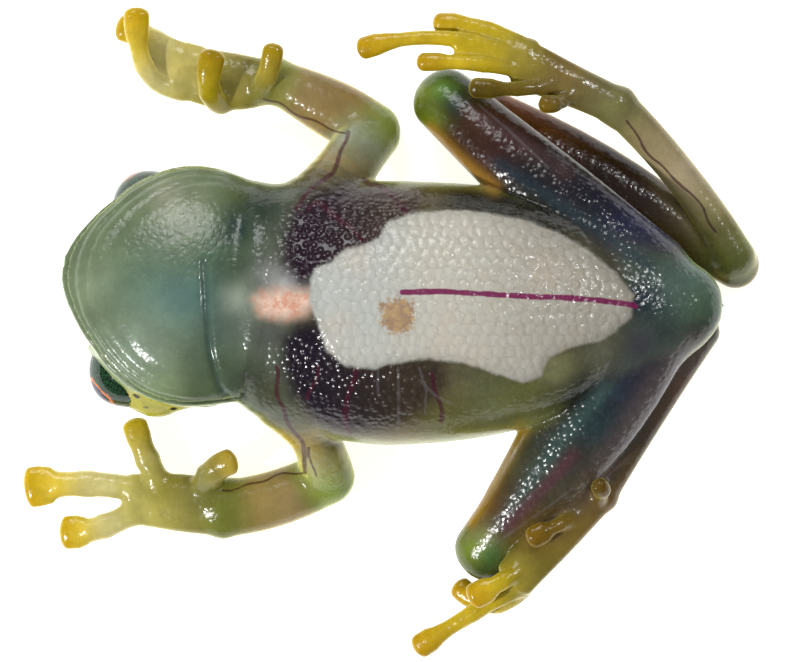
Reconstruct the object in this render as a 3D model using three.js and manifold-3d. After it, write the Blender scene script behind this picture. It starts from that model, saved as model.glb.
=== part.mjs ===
// A glass frog lying on its back with its belly up, at life size, in millimetres.
// +X runs from the snout to the vent, +Y to the frog's left side, and +Z up through the belly.
import * as THREE from "three";
import { mergeVertices } from "three/addons/utils/BufferGeometryUtils.js";
import Module from "manifold-3d";

const wasm = await Module();
wasm.setup();

// Driving sizes
const snoutToVent = 30.3;
const gap = 0.3; // between two parts that meet
const bodyRoll = THREE.MathUtils.degToRad(9); // the frog lies a little on its left side
const headRoll = THREE.MathUtils.degToRad(12);
const headYaw = THREE.MathUtils.degToRad(7.9);
const headLength = 8.9;
const mouthHeight = 4.85; // of the mouth's plane over the floor
const eyeRadius = 1.75;
const lidThickness = 0.5;
const snoutTip = new THREE.Vector3(-snoutToVent / 2 + 0.04, 2.92, mouthHeight);

const skinGreen = new THREE.Color(0.45, 0.56, 0.36);
const bellyPale = new THREE.Color(0.62, 0.64, 0.55);
const armGreen = new THREE.Color(0.52, 0.58, 0.34);
const thighBlue = new THREE.Color(0.2, 0.24, 0.28);
const shankOlive = new THREE.Color(0.36, 0.34, 0.2);
const digitYellow = new THREE.Color(0.85, 0.7, 0.08);
const eyeDark = new THREE.Color(0.08, 0.1, 0.08);

// Torso sections: [x, middle y, middle z, half width, half depth]
const torsoSections = [
  [-7.7, 1.7, 4.6, 4.3, 2.6],
  [-6.0, 1.5, 4.3, 5.0, 3.3],
  [-4.25, 1.1, 4.0, 5.6, 3.8],
  [-1.96, 0.92, 4.0, 6.0, 4.15],
  [0.9, 0.85, 4.05, 6.07, 4.3],
  [4.95, 0.95, 4.05, 5.66, 4.2],
  [8.6, 0.99, 4.0, 4.6, 3.7],
  [10.5, 1.0, 3.9, 3.45, 3.1],
  [12.3, 1.1, 3.95, 2.5, 2.5],
  [14.1, 1.15, 4.1, 1.85, 1.6],
  [15.2, 1.2, 4.2, 1.5, 1.3],
];

// Head sections from the snout back: [distance, half width, throat height, skull depth]
const headSections = [
  [0.0, 0.6, 0.3, 0.7],
  [0.2, 1.15, 0.42, 1.0],
  [0.5, 1.75, 0.62, 1.35],
  [1.28, 2.95, 1.1, 2.1],
  [1.9, 3.6, 1.35, 2.4],
  [2.6, 4.3, 1.55, 2.62],
  [3.77, 5.1, 1.87, 2.95],
  [5.0, 5.48, 2.15, 3.1],
  [6.3, 5.55, 2.35, 3.18],
  [7.5, 5.4, 2.45, 3.2],
  [headLength, 5.0, 2.5, 3.2],
];

// Limb parts: the curve's start, middle and end, its half widths and half depths there, how long each domed
// end is, and the parts that it is fitted against
const limbs = {
  upper_arm_left: {
    path: [[-3.9, 4.6, 4.3], [-2.35, 7.2, 3.2], [-0.3, 9.7, 1.2]],
    wide: [2.3, 1.45, 1.35],
    deep: [1.9, 1.35, 1.2],
    domes: [0, 1],
    against: ["torso", "head"],
    colour: armGreen,
  },
  forearm_left: {
    path: [[-1.1, 9.1, 1.15], [-2.85, 10.15, 1.1], [-5.4, 11.55, 1.05]],
    wide: [1.4, 1.35, 1.0],
    deep: [1.2, 1.15, 0.8],
    against: ["upper_arm_left"],
    colour: armGreen,
  },
  hand_left: {
    path: [[-5.3, 11.55, 1.05], [-7.38, 11.4, 1.05], [-10.0, 11.95, 0.95]],
    wide: [0.95, 1.4, 1.35],
    deep: [0.75, 0.66, 0.45],
    against: ["forearm_left"],
    colour: digitYellow,
  },
  upper_arm_right: {
    path: [[-4.9, -2.4, 4.6], [-3.75, -4.6, 3.4], [-2.6, -7.5, 1.15]],
    wide: [2.2, 1.2, 1.2],
    deep: [1.9, 1.3, 1.15],
    domes: [0, 1],
    against: ["torso", "head"],
    colour: armGreen,
  },
  forearm_right: {
    path: [[-3.1, -6.8, 1.15], [-5.41, -7.7, 1.05], [-7.84, -8.12, 1.05]],
    wide: [1.2, 1.28, 1.2],
    deep: [1.1, 1.1, 0.85],
    against: ["upper_arm_right"],
    colour: armGreen,
  },
  hand_right: {
    path: [[-7.75, -8.12, 1.05], [-9.78, -7.84, 1.0], [-12.2, -7.7, 0.85]],
    wide: [1.15, 1.3, 1.1],
    deep: [0.8, 0.65, 0.45],
    against: ["forearm_right"],
    colour: digitYellow,
  },
  thigh_left: {
    path: [[11.6, 2.6, 4.2], [7.6, 5.9, 4.3], [1.5, 11.5, 2.4]],
    wide: [2.1, 2.0, 1.45],
    deep: [1.7, 1.5, 1.3],
    domes: [0, 1.3],
    against: ["torso"],
    sides: 20,
    colour: thighBlue,
  },
  shank_left: {
    path: [[2.9, 10.5, 1.4], [9.6, 7.15, 1.1], [16.7, 2.7, 1.0]],
    wide: [1.4, 1.75, 1.1],
    deep: [1.15, 1.2, 1.1],
    domes: [0, 1],
    against: ["thigh_left", "torso"],
    colour: shankOlive,
  },
  tarsus_left: {
    path: [[15.75, 3.4, 2.0], [13.15, 6.95, 2.4], [10.3, 10.3, 3.3]],
    wide: [0.9, 0.82, 0.88],
    deep: [0.85, 0.75, 0.65],
    against: ["shank_left"],
    colour: armGreen,
  },
  foot_left: {
    path: [[10.35, 10.3, 3.3], [8.3, 11.3, 3.9], [6.0, 12.35, 4.2]],
    wide: [0.88, 1.0, 1.2],
    deep: [0.62, 0.52, 0.4],
    against: ["tarsus_left", "thigh_left", "shank_left"],
    colour: digitYellow,
  },
  thigh_right: {
    path: [[12.0, 0.4, 4.3], [8.8, -4.2, 4.5], [3.6, -11.1, 2.4]],
    wide: [2.0, 2.25, 1.5],
    deep: [1.7, 1.5, 1.3],
    domes: [0, 1.3],
    against: ["torso", "thigh_left"],
    sides: 20,
    colour: thighBlue,
  },
  shank_right: {
    path: [[5.1, -9.6, 1.4], [9.5, -4.9, 1.05], [15.1, 1.6, 1.0]],
    wide: [1.4, 1.65, 1.1],
    deep: [1.15, 1.15, 1.1],
    domes: [0, 1],
    against: ["thigh_right", "torso", "shank_left"],
    colour: shankOlive,
  },
  tarsus_right: {
    path: [[14.4, 0.1, 2.1], [11.95, -3.6, 3.0], [9.45, -7.4, 3.7]],
    wide: [0.95, 1.0, 1.0],
    deep: [0.8, 0.75, 0.68],
    against: ["torso", "shank_right", "thigh_right"],
    colour: armGreen,
  },
  foot_right: {
    path: [[9.5, -7.4, 3.7], [7.6, -9.4, 4.1], [5.7, -11.4, 4.0]],
    wide: [1.0, 1.15, 1.05],
    deep: [0.64, 0.55, 0.4],
    against: ["tarsus_right", "shank_right", "thigh_right"],
    colour: digitYellow,
  },
};

// Digits: root, middle and tip, the stalk's half width, and the disc's half width and length
const digits = {
  finger_left: {
    grows: "hand_left",
    rows: [
      [[-6.15, 11.1, 1.5], [-5.75, 11.9, 2.5], [-5.45, 13.3, 3.0], 0.45, 0.45, 1.5],
      [[-7.9, 10.5, 1.3], [-8.45, 11.2, 2.6], [-8.3, 13.0, 3.1], 0.52, 0.58, 1.5],
      [[-9.9, 10.95, 1.0], [-11.5, 11.85, 1.5], [-11.8, 14.85, 2.8], 0.42, 0.56, 1.7],
      [[-9.9, 12.8, 0.9], [-10.9, 13.5, 0.7], [-12.8, 14.2, 0.45], 0.42, 0.62, 1.4],
    ],
    crossed: { 3: ["finger_left_4"] },
  },
  finger_right: {
    grows: "hand_right",
    rows: [
      [[-8.9, -7.4, 1.2], [-8.45, -6.4, 2.3], [-7.35, -5.8, 2.9], 0.58, 0.64, 1.1],
      [[-10.4, -7.1, 1.0], [-11.2, -5.85, 1.2], [-12.1, -4.1, 1.2], 0.52, 0.62, 1.2],
      [[-12.0, -7.3, 0.85], [-14.14, -7.05, 0.7], [-17.1, -7.2, 0.4], 0.56, 0.95, 1.5],
      [[-12.0, -8.2, 0.85], [-13.5, -8.95, 0.7], [-15.4, -9.35, 0.4], 0.52, 0.76, 1.2],
    ],
    crossed: {},
  },
  toe_left: {
    grows: "foot_left",
    rows: [
      [[8.2, 10.8, 4.1], [7.6, 10.5, 4.7], [6.75, 10.45, 4.8], 0.3, 0.4, 0.8],
      [[7.2, 11.3, 4.2], [5.87, 11.15, 4.7], [3.7, 11.2, 4.6], 0.34, 0.48, 1.2],
      [[6.2, 11.9, 4.2], [3.9, 12.3, 4.4], [1.4, 12.4, 4.0], 0.36, 0.44, 1.2],
      [[6.2, 12.6, 4.2], [2.3, 13.5, 4.0], [-1.5, 13.1, 3.3], 0.38, 0.52, 1.5],
      [[6.2, 13.0, 4.1], [4.25, 13.95, 3.8], [1.85, 14.2, 3.4], 0.38, 0.48, 1.3],
    ],
    crossed: {
      1: ["thigh_left", "toe_left_2"],
      2: ["thigh_left"],
      3: ["thigh_left", "toe_left_2"],
      4: ["toe_left_3"],
      5: ["toe_left_4"],
    },
  },
  toe_right: {
    grows: "foot_right",
    rows: [
      [[9.1, -7.9, 3.9], [9.6, -7.5, 4.7], [9.5, -7.0, 5.5], 0.32, 0.4, 0.7],
      [[8.0, -8.8, 4.2], [7.6, -8.9, 4.9], [6.2, -9.55, 5.1], 0.36, 0.52, 1.0],
      [[5.9, -10.9, 4.1], [5.0, -11.5, 4.6], [3.5, -12.25, 4.5], 0.4, 0.58, 1.2],
      [[5.9, -11.7, 3.8], [3.9, -12.85, 3.3], [1.0, -14.65, 2.2], 0.4, 0.6, 1.4],
      [[6.0, -11.9, 3.4], [4.6, -12.6, 2.2], [2.9, -11.7, 1.5], 0.4, 0.55, 1.1],
    ],
    crossed: {
      1: ["thigh_right", "tarsus_right"],
      2: ["thigh_right"],
      3: ["thigh_right"],
      5: ["toe_right_4", "thigh_right", "shank_right"],
    },
  },
};

// A closed mesh as a solid that can be joined and cut
function solidOf(geometry) {
  const bare = geometry.index ? geometry.toNonIndexed() : geometry.clone();
  for (const name of Object.keys(bare.attributes)) if (name !== "position") bare.deleteAttribute(name);
  const merged = mergeVertices(bare, 1e-4);
  return new wasm.Manifold(
    new wasm.Mesh({
      numProp: 3,
      vertProperties: merged.attributes.position.array,
      triVerts: new Uint32Array(merged.index.array),
    }),
  );
}

// A smooth reading of a table of [place, value, value...] rows at any place
function readTable(table, place, column) {
  let i = 0;
  while (i < table.length - 2 && table[i + 1][0] < place) i++;
  const slope = (k) => {
    const a = table[Math.max(k - 1, 0)];
    const b = table[Math.min(k + 1, table.length - 1)];
    return (b[column] - a[column]) / (b[0] - a[0]);
  };
  const span = table[i + 1][0] - table[i][0];
  const t = THREE.MathUtils.clamp((place - table[i][0]) / span, 0, 1);
  const t2 = t * t;
  const t3 = t2 * t;
  return (
    (2 * t3 - 3 * t2 + 1) * table[i][column] +
    (t3 - 2 * t2 + t) * span * slope(i) +
    (3 * t2 - 2 * t3) * table[i + 1][column] +
    (t3 - t2) * span * slope(i + 1)
  );
}

// Where the rings of a tube lie along its length, closer together on a domed end. Each has its distance, its
// share of the full size, and how far it moves along and outwards when the tube is grown by one
function ringPlaces(length, steps, [first, last]) {
  const domeAngles = [18, 40, 64].map(THREE.MathUtils.degToRad);
  const rings = [];
  for (let i = 0; i <= steps; i++) {
    const distance = first + ((length - first - last) * i) / steps;
    rings.push({ distance, share: 1, along: 0, out: 1 });
  }
  const dome = (a, size, far) => ({
    distance: far ? length - size * (1 - Math.cos(a)) : size * (1 - Math.cos(a)),
    share: Math.sin(a),
    along: far ? Math.cos(a) : -Math.cos(a),
    out: Math.sin(a),
  });
  if (first) rings.unshift(...domeAngles.map((a) => dome(a, first, false)));
  else rings[0].along = -1;
  if (last) rings.push(...domeAngles.toReversed().map((a) => dome(a, last, true)));
  else rings.at(-1).along = 1;
  return rings;
}

// A cylinder whose rings are strung along a line and shaped: place(ring, x, y) gives each point, with x and y on the
// unit circle of its ring
function shapedCylinder(sides, rings, place) {
  const geometry = new THREE.CylinderGeometry(1, 1, 1, sides, rings - 1, false);
  const position = geometry.attributes.position;
  const point = new THREE.Vector3();
  for (let i = 0; i < position.count; i++) {
    point.fromBufferAttribute(position, i);
    const ring = Math.round((point.y + 0.5) * (rings - 1));
    position.setXYZ(i, ...place(ring, point.x, point.z).toArray());
  }
  return solidOf(geometry);
}

// How far a point of the unit circle moves out on a section that is a little squarer than an ellipse
function squareOff(x, z, power) {
  const size = (Math.abs(x) ** power + Math.abs(z) ** power) ** (1 / power);
  return size > 0 ? Math.hypot(x, z) / size : 0;
}

// A limb or digit: an elliptic section along a curve, wider by grow on every side
function tube({ path, wide, deep, domes = [0, 0], sides = 16, steps = 8 }, grow = 0) {
  const [start, middle, end] = path.map((p) => new THREE.Vector3(...p));
  const bend = middle.clone().multiplyScalar(2).sub(start.clone().add(end).multiplyScalar(0.5));
  const curve = new THREE.QuadraticBezierCurve3(start, bend, end);
  const length = curve.getLength();
  const up = new THREE.Vector3(0, 0, 1);
  const rings = ringPlaces(length, steps, domes);
  const halfAt = (sizes, t) =>
    typeof sizes === "function"
      ? sizes(t * length, length)
      : readTable([[0, sizes[0]], [0.5, sizes[1]], [1, sizes[2]]], t, 1);
  return shapedCylinder(sides, rings.length, (i, x, z) => {
    const ring = rings[i];
    const t = ring.distance / length;
    const along = curve.getTangentAt(t);
    const side = new THREE.Vector3().crossVectors(along, up).normalize();
    const top = new THREE.Vector3().crossVectors(side, along);
    return curve
      .getPointAt(t)
      .addScaledVector(along, ring.along * grow)
      .addScaledVector(side, x * (halfAt(wide, t) * ring.share + ring.out * grow))
      .addScaledVector(top, z * (halfAt(deep, t) * ring.share + ring.out * grow));
  });
}

// A digit ends in a round, flattened disc
function digit([root, middle, tip, stalk, disc, discLength], grow = 0) {
  const swell = (distance, length, low, high) => {
    const t = THREE.MathUtils.clamp((distance - (length - 1.3 * discLength)) / (0.6 * discLength), 0, 1);
    return low + (high - low) * t * t * (3 - 2 * t);
  };
  return tube(
    {
      path: [root, middle, tip],
      wide: (distance, length) => swell(distance, length, stalk, disc),
      deep: (distance, length) => swell(distance, length, stalk * 0.85, 0.36),
      domes: [0, disc * 0.8],
      sides: 10,
      steps: 7,
    },
    grow,
  );
}

// The torso: rounded sections, rolled about its own length
function torso(grow = 0) {
  const first = torsoSections[0][0];
  const length = torsoSections.at(-1)[0] - first;
  const rings = ringPlaces(length, 20, [1.6, 1.2]);
  return shapedCylinder(36, rings.length, (i, x, z) => {
    const ring = rings[i];
    const at = first + ring.distance;
    const [y0, z0, wide, deep] = [1, 2, 3, 4].map((column) => readTable(torsoSections, at, column));
    const round = squareOff(x, z, 2.25);
    const across = x * round * (wide * ring.share + ring.out * grow);
    const high = z * round * (deep * ring.share + ring.out * grow);
    return new THREE.Vector3(
      at + ring.along * grow,
      y0 - across * Math.cos(bodyRoll) + high * Math.sin(bodyRoll),
      z0 + across * Math.sin(bodyRoll) + high * Math.cos(bodyRoll),
    );
  });
}

// A place on the head, from its distance behind the snout, to the frog's left, and over the mouth's plane
const headBack = new THREE.Vector3(Math.cos(headYaw), -Math.sin(headYaw), 0);
const headAcross = new THREE.Vector3(Math.sin(headYaw), Math.cos(headYaw), 0);
const headLeft = headAcross.clone().multiplyScalar(Math.cos(headRoll)).setZ(-Math.sin(headRoll));
const headUp = headAcross.clone().multiplyScalar(Math.sin(headRoll)).setZ(Math.cos(headRoll));
function onHead(back, left, up) {
  return snoutTip
    .clone()
    .addScaledVector(headBack, back)
    .addScaledVector(headLeft, left)
    .addScaledVector(headUp, up);
}

const eyePlace = { back: 3.5, out: 3.82, up: -2.25 };
const eyeCentre = (side) => onHead(eyePlace.back, side * eyePlace.out, eyePlace.up);

function ball(radius, centre, sides = 20, squash = [1, 1, 1]) {
  const geometry = new THREE.SphereGeometry(radius, sides, Math.round(sides * 0.6));
  const turned = new THREE.Matrix4().makeBasis(headBack, headLeft, headUp);
  geometry.scale(...squash).applyMatrix4(turned).translate(centre.x, centre.y, centre.z);
  return solidOf(geometry);
}

// The skull and lower jaw as one rounded form, wider by grow
function headForm(grow = 0) {
  const rings = ringPlaces(headLength, 16, [0, 0]);
  return shapedCylinder(32, rings.length, (i, x, z) => {
    const at = headLength * (rings[i].distance / headLength) ** 1.5;
    const [wide, throat, skull] = [1, 2, 3].map((column) => readTable(headSections, at, column));
    const round = squareOff(x, z, 2.1);
    const high = z * round * ((z > 0 ? throat : skull) + grow);
    return onHead(at + rings[i].along * grow, -x * round * (wide + grow), high);
  });
}

// A box in the head's own directions
function headBox(size, back, left, up) {
  const geometry = new THREE.BoxGeometry(...size);
  const centre = onHead(back, left, up);
  geometry.applyMatrix4(new THREE.Matrix4().makeBasis(headBack, headLeft, headUp));
  return solidOf(geometry.translate(centre.x, centre.y, centre.z));
}

function head() {
  const mouthLine = 0.3;
  const mouthDepth = 0.35;
  const nostril = { back: 0.75, out: 1.1, up: -0.7 };
  const eardrum = { back: 6.9, out: 5.15, up: -0.9 };
  const lidFront = 0.5;
  let made = headForm();
  for (const side of [-1, 1]) {
    const lidRadius = eyeRadius + gap + lidThickness;
    const lookOut = new THREE.Vector3().addScaledVector(headBack, -0.6).addScaledVector(headLeft, side * 0.75);
    lookOut.addScaledVector(headUp, -0.1).normalize();
    const shutter = new THREE.BoxGeometry(9, 9, 9);
    shutter.applyQuaternion(new THREE.Quaternion().setFromUnitVectors(new THREE.Vector3(1, 0, 0), lookOut));
    const before = eyeCentre(side).addScaledVector(lookOut, 4.5 + lidFront);
    const lid = ball(lidRadius, eyeCentre(side), 16).subtract(
      solidOf(shutter.translate(before.x, before.y, before.z)),
    );
    made = made.add(lid);
    made = made.add(ball(0.5, onHead(nostril.back, side * nostril.out, nostril.up), 10, [1, 0.9, 1.1]));
    made = made.add(ball(0.75, onHead(eardrum.back, side * eardrum.out, eardrum.up), 12, [1, 0.35, 1]));
  }
  for (const side of [-1, 1]) {
    made = made.subtract(ball(eyeRadius + gap, eyeCentre(side), 16));
    made = made.subtract(ball(0.2, onHead(nostril.back - 0.4, side * (nostril.out + 0.15), nostril.up - 0.1), 8));
  }
  const slot = headBox([headLength - 1, 14, mouthLine], headLength / 2 - 0.9, 0, 0.35);
  return made.subtract(slot.subtract(headForm(-mouthDepth)));
}

// Keeps the largest closed surface, so that no loose scrap is left by a cut
function largest(solid) {
  return solid.decompose().reduce((a, b) => (a.volume() > b.volume() ? a : b));
}

const floorDepth = 6;
const floor = solidOf(new THREE.BoxGeometry(80, 80, floorDepth).translate(0, 0, -floorDepth / 2));

// The plain form of any part, wider by grow, for fitting its neighbours against it
function formOf(name, grow) {
  if (name === "torso") return torso(grow);
  if (name === "head") {
    const lids = [-1, 1].map((side) => ball(eyeRadius + gap + lidThickness + grow, eyeCentre(side), 22));
    return headForm(grow).add(lids[0]).add(lids[1]);
  }
  if (limbs[name]) return tube(limbs[name], grow);
  const [kind, number] = [name.slice(0, name.lastIndexOf("_")), Number(name.at(-1))];
  return digit(digits[kind].rows[number - 1], grow);
}

const frog = new THREE.Group();

function addPart(name, solid, colour) {
  const mesh = largest(solid.subtract(floor)).getMesh();
  const corners = new Float32Array(mesh.numVert * 3);
  for (let i = 0; i < mesh.numVert; i++) {
    corners.set(mesh.vertProperties.subarray(i * mesh.numProp, i * mesh.numProp + 3), i * 3);
  }
  const geometry = new THREE.BufferGeometry();
  geometry.setAttribute("position", new THREE.BufferAttribute(corners, 3));
  geometry.setIndex(new THREE.BufferAttribute(mesh.triVerts, 1));
  geometry.computeVertexNormals();
  const material = new THREE.MeshStandardMaterial({ color: colour, roughness: 0.25, metalness: 0 });
  const part = new THREE.Mesh(geometry, material);
  part.name = name;
  frog.add(part);
}

function fitted(solid, neighbours) {
  return neighbours.reduce((made, name) => made.subtract(formOf(name, gap)), solid);
}

addPart("torso", torso(), bellyPale);
addPart("head", fitted(head(), ["torso"]), skinGreen);
addPart("eye_left", ball(eyeRadius, eyeCentre(1), 22), eyeDark);
addPart("eye_right", ball(eyeRadius, eyeCentre(-1), 22), eyeDark);
for (const [name, limb] of Object.entries(limbs)) {
  addPart(name, fitted(tube(limb), limb.against), limb.colour);
}
for (const [kind, { grows, rows, crossed }] of Object.entries(digits)) {
  rows.forEach((row, i) => {
    addPart(`${kind}_${i + 1}`, fitted(digit(row), [grows, ...(crossed[i + 1] ?? [])]), digitYellow);
  });
}

// The origin is under the middle of the frog, on the floor
const bounds = new THREE.Box3().setFromObject(frog);
const middle = bounds.getCenter(new THREE.Vector3());
frog.position.set(-middle.x, -middle.y, -bounds.min.z);

export default frog;
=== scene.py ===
import math
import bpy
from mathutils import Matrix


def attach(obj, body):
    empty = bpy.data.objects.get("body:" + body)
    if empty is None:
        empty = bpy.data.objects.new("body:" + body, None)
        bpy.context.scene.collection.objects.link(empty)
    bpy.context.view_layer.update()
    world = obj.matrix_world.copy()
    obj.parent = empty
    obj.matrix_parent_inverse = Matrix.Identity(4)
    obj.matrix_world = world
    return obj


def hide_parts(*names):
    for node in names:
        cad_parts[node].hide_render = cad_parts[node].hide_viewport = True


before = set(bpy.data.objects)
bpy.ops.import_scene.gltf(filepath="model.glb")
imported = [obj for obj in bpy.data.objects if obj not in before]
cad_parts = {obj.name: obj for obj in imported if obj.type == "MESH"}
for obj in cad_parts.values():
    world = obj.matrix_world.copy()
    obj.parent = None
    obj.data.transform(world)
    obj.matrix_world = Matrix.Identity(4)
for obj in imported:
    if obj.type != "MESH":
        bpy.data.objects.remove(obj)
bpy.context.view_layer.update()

from types import SimpleNamespace

import bpy
import numpy as np
import openvdb
from mathutils import Vector, kdtree

# The frog is shaped in millimetres on the same lines as the solids, whose middle lies this far from zero
MIDDLE = np.array([-0.0916, -0.0459, 0.0])
MM = 0.001
SIDES = (1, -1)
GRID_STEP = 0.1
GRID_LOW = np.array([-17.6, -15.7, -0.5])
GRID_HIGH = np.array([17.6, 15.7, 9.0])
BODY_ROLL = math.radians(9)
HEAD_ROLL = math.radians(12)
HEAD_YAW = math.radians(7.9)
HEAD_LENGTH = 8.9
SNOUT_TIP = np.array([-15.11, 2.92, 4.85])

# How square the body's and the head's sections are: 2 is an oval
BODY_SQUARENESS = 2.25
HEAD_SQUARENESS = 2.1
CHEST_ROUNDING = 1.6
VENT_ROUNDING = 1.2

# A place on the head is back from the snout, out to the side, and up through the throat
MOUTH_HEIGHT = 0.28
MOUTH_HALF_GAP = 0.07
MOUTH_DEPTH = 0.3
EYE_PLACE = (3.5, 3.82, -2.25)
EYE_LOOK = (-0.6, 0.75, -0.1)
EYE_RADIUS = 1.75
EYE_ROOM = 0.02
LID_THICKNESS = 0.3
LID_REACH = 0.5
LID_RIM = 0.14
NOSE_PLACE = (0.75, 1.1, -0.7)
NOSE_RADIUS = 0.5
NOSTRIL_PLACE = (0.35, 1.3, -0.8)
NOSTRIL_RADIUS = 0.17
TEMPLE_PATH = ((5.0, 4.4, -2.2), (7.0, 4.4, -1.4))
TEMPLE_RADII = np.array([1.7, 1.45, 0.8])
TEMPLE_SKIN = (5.2, 5.0, -1.9)
EAR_PLACE = (7.1, 5.15, -0.7)
EAR_RADIUS = 0.62
EAR_RIM = 0.08
EAR_HEIGHT = 0.12

# The creases along the jaw: height above the mouth's plane, and depth
JAW_CREASES = ((0.6, 0.09), (0.95, 0.07), (1.35, 0.05))
CREASE_WIDTH = 0.1
THROAT_FOLD_DEPTH = 0.16
THROAT_FOLD_WIDTH = 0.16

# The gut's cobbles: their size, and how far they and the whole gut lift the skin
PEBBLE_SIZE = 0.5
PEBBLE_SEED = 7
PEBBLE_LIFT = 0.06
GUT_LIFT = 0.08

# x, middle y, middle z, half width and half depth of the body
TORSO = np.array([
    [-7.7, 1.7, 4.6, 4.3, 2.6],
    [-6.0, 1.5, 4.3, 5.0, 3.3],
    [-4.25, 1.1, 4.0, 5.6, 3.8],
    [-1.96, 0.92, 4.0, 6.0, 4.15],
    [0.9, 0.85, 4.05, 6.07, 4.3],
    [4.95, 0.95, 4.05, 5.66, 4.2],
    [8.6, 0.99, 4.0, 4.6, 3.7],
    [10.5, 1.0, 3.9, 3.45, 3.1],
    [12.3, 1.1, 3.95, 2.5, 2.5],
    [14.1, 1.15, 4.1, 1.85, 1.6],
    [15.2, 1.2, 4.2, 1.5, 1.3],
])

# Distance behind the snout, half width, and the throat's and the skull's height from the mouth's plane
HEAD = np.array([
    [0.0, 0.6, 0.3, 0.7],
    [0.2, 1.15, 0.42, 1.0],
    [0.5, 1.75, 0.62, 1.35],
    [1.28, 2.88, 1.1, 2.1],
    [1.9, 3.55, 1.35, 2.4],
    [2.6, 4.3, 1.55, 2.62],
    [3.77, 5.1, 1.87, 2.95],
    [5.0, 5.55, 2.15, 3.1],
    [6.3, 5.62, 2.35, 3.18],
    [7.5, 5.4, 2.45, 3.2],
    [HEAD_LENGTH, 5.0, 2.5, 3.2],
])

# Each limb part: start, middle, end; half widths; half depths; how softly it grows out of the last part
LIMBS = {
    "upper_arm_left": (
        [[-3.9, 4.6, 4.3], [-2.4, 7.1, 3.2], [-0.95, 9.15, 1.35]],
        [2.15, 1.45, 1.3], [1.9, 1.35, 1.2], 1.3,
    ),
    "forearm_left": (
        [[-0.95, 9.2, 1.15], [-2.8, 10.3, 1.1], [-5.5, 11.65, 1.05]],
        [1.35, 1.35, 1.0], [1.15, 1.15, 0.8], 0.45,
    ),
    "hand_left": (
        [[-5.4, 11.65, 1.05], [-7.38, 11.55, 1.05], [-9.8, 12.1, 0.95]],
        [0.95, 1.33, 1.25], [0.75, 0.66, 0.45], 0.6,
    ),
    "upper_arm_right": (
        [[-4.9, -2.4, 4.6], [-3.7, -4.6, 3.4], [-2.95, -6.7, 1.4]],
        [2.1, 1.2, 1.2], [1.9, 1.3, 1.15], 1.3,
    ),
    "forearm_right": (
        [[-3.1, -6.75, 1.15], [-5.41, -7.72, 1.05], [-7.84, -8.18, 1.05]],
        [1.25, 1.3, 1.32], [1.1, 1.1, 0.9], 0.45,
    ),
    "hand_right": (
        [[-7.75, -8.18, 1.05], [-9.78, -7.92, 1.0], [-12.0, -7.75, 0.85]],
        [1.3, 1.34, 1.15], [0.8, 0.65, 0.45], 0.6,
    ),
    "thigh_left": (
        [[11.6, 2.6, 4.2], [7.7, 5.9, 4.3], [2.35, 10.7, 2.5]],
        [2.1, 2.0, 1.5], [1.7, 1.5, 1.3], 1.6,
    ),
    "shank_left": (
        [[2.8, 10.5, 1.4], [9.3, 7.15, 1.1], [15.85, 3.1, 1.0]],
        [1.4, 1.6, 1.1], [1.15, 1.2, 1.1], 1.0,
    ),
    "tarsus_left": (
        [[15.8, 3.5, 2.0], [13.35, 7.12, 2.4], [10.35, 10.4, 3.3]],
        [0.9, 0.82, 0.88], [0.85, 0.75, 0.65], 0.8,
    ),
    "foot_left": (
        [[10.4, 10.35, 3.3], [8.3, 11.3, 3.9], [6.0, 12.3, 4.2]],
        [0.88, 0.96, 1.15], [0.62, 0.52, 0.4], 0.6,
    ),
    "thigh_right": (
        [[12.0, 0.4, 4.3], [8.95, -4.2, 4.5], [4.3, -10.15, 2.5]],
        [2.0, 2.15, 1.5], [1.7, 1.5, 1.3], 1.6,
    ),
    "shank_right": (
        [[5.0, -9.6, 1.4], [9.4, -4.85, 1.05], [14.1, 0.85, 1.0]],
        [1.4, 1.65, 1.1], [1.15, 1.15, 1.1], 1.0,
    ),
    "tarsus_right": (
        [[14.2, 0.1, 2.1], [11.75, -3.5, 3.0], [9.4, -7.3, 3.7]],
        [0.95, 1.0, 1.0], [0.8, 0.75, 0.68], 0.8,
    ),
    "foot_right": (
        [[9.4, -7.4, 3.7], [7.45, -9.35, 4.1], [5.65, -11.35, 4.0]],
        [1.0, 1.08, 0.98], [0.64, 0.55, 0.4], 0.6,
    ),
}

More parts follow.
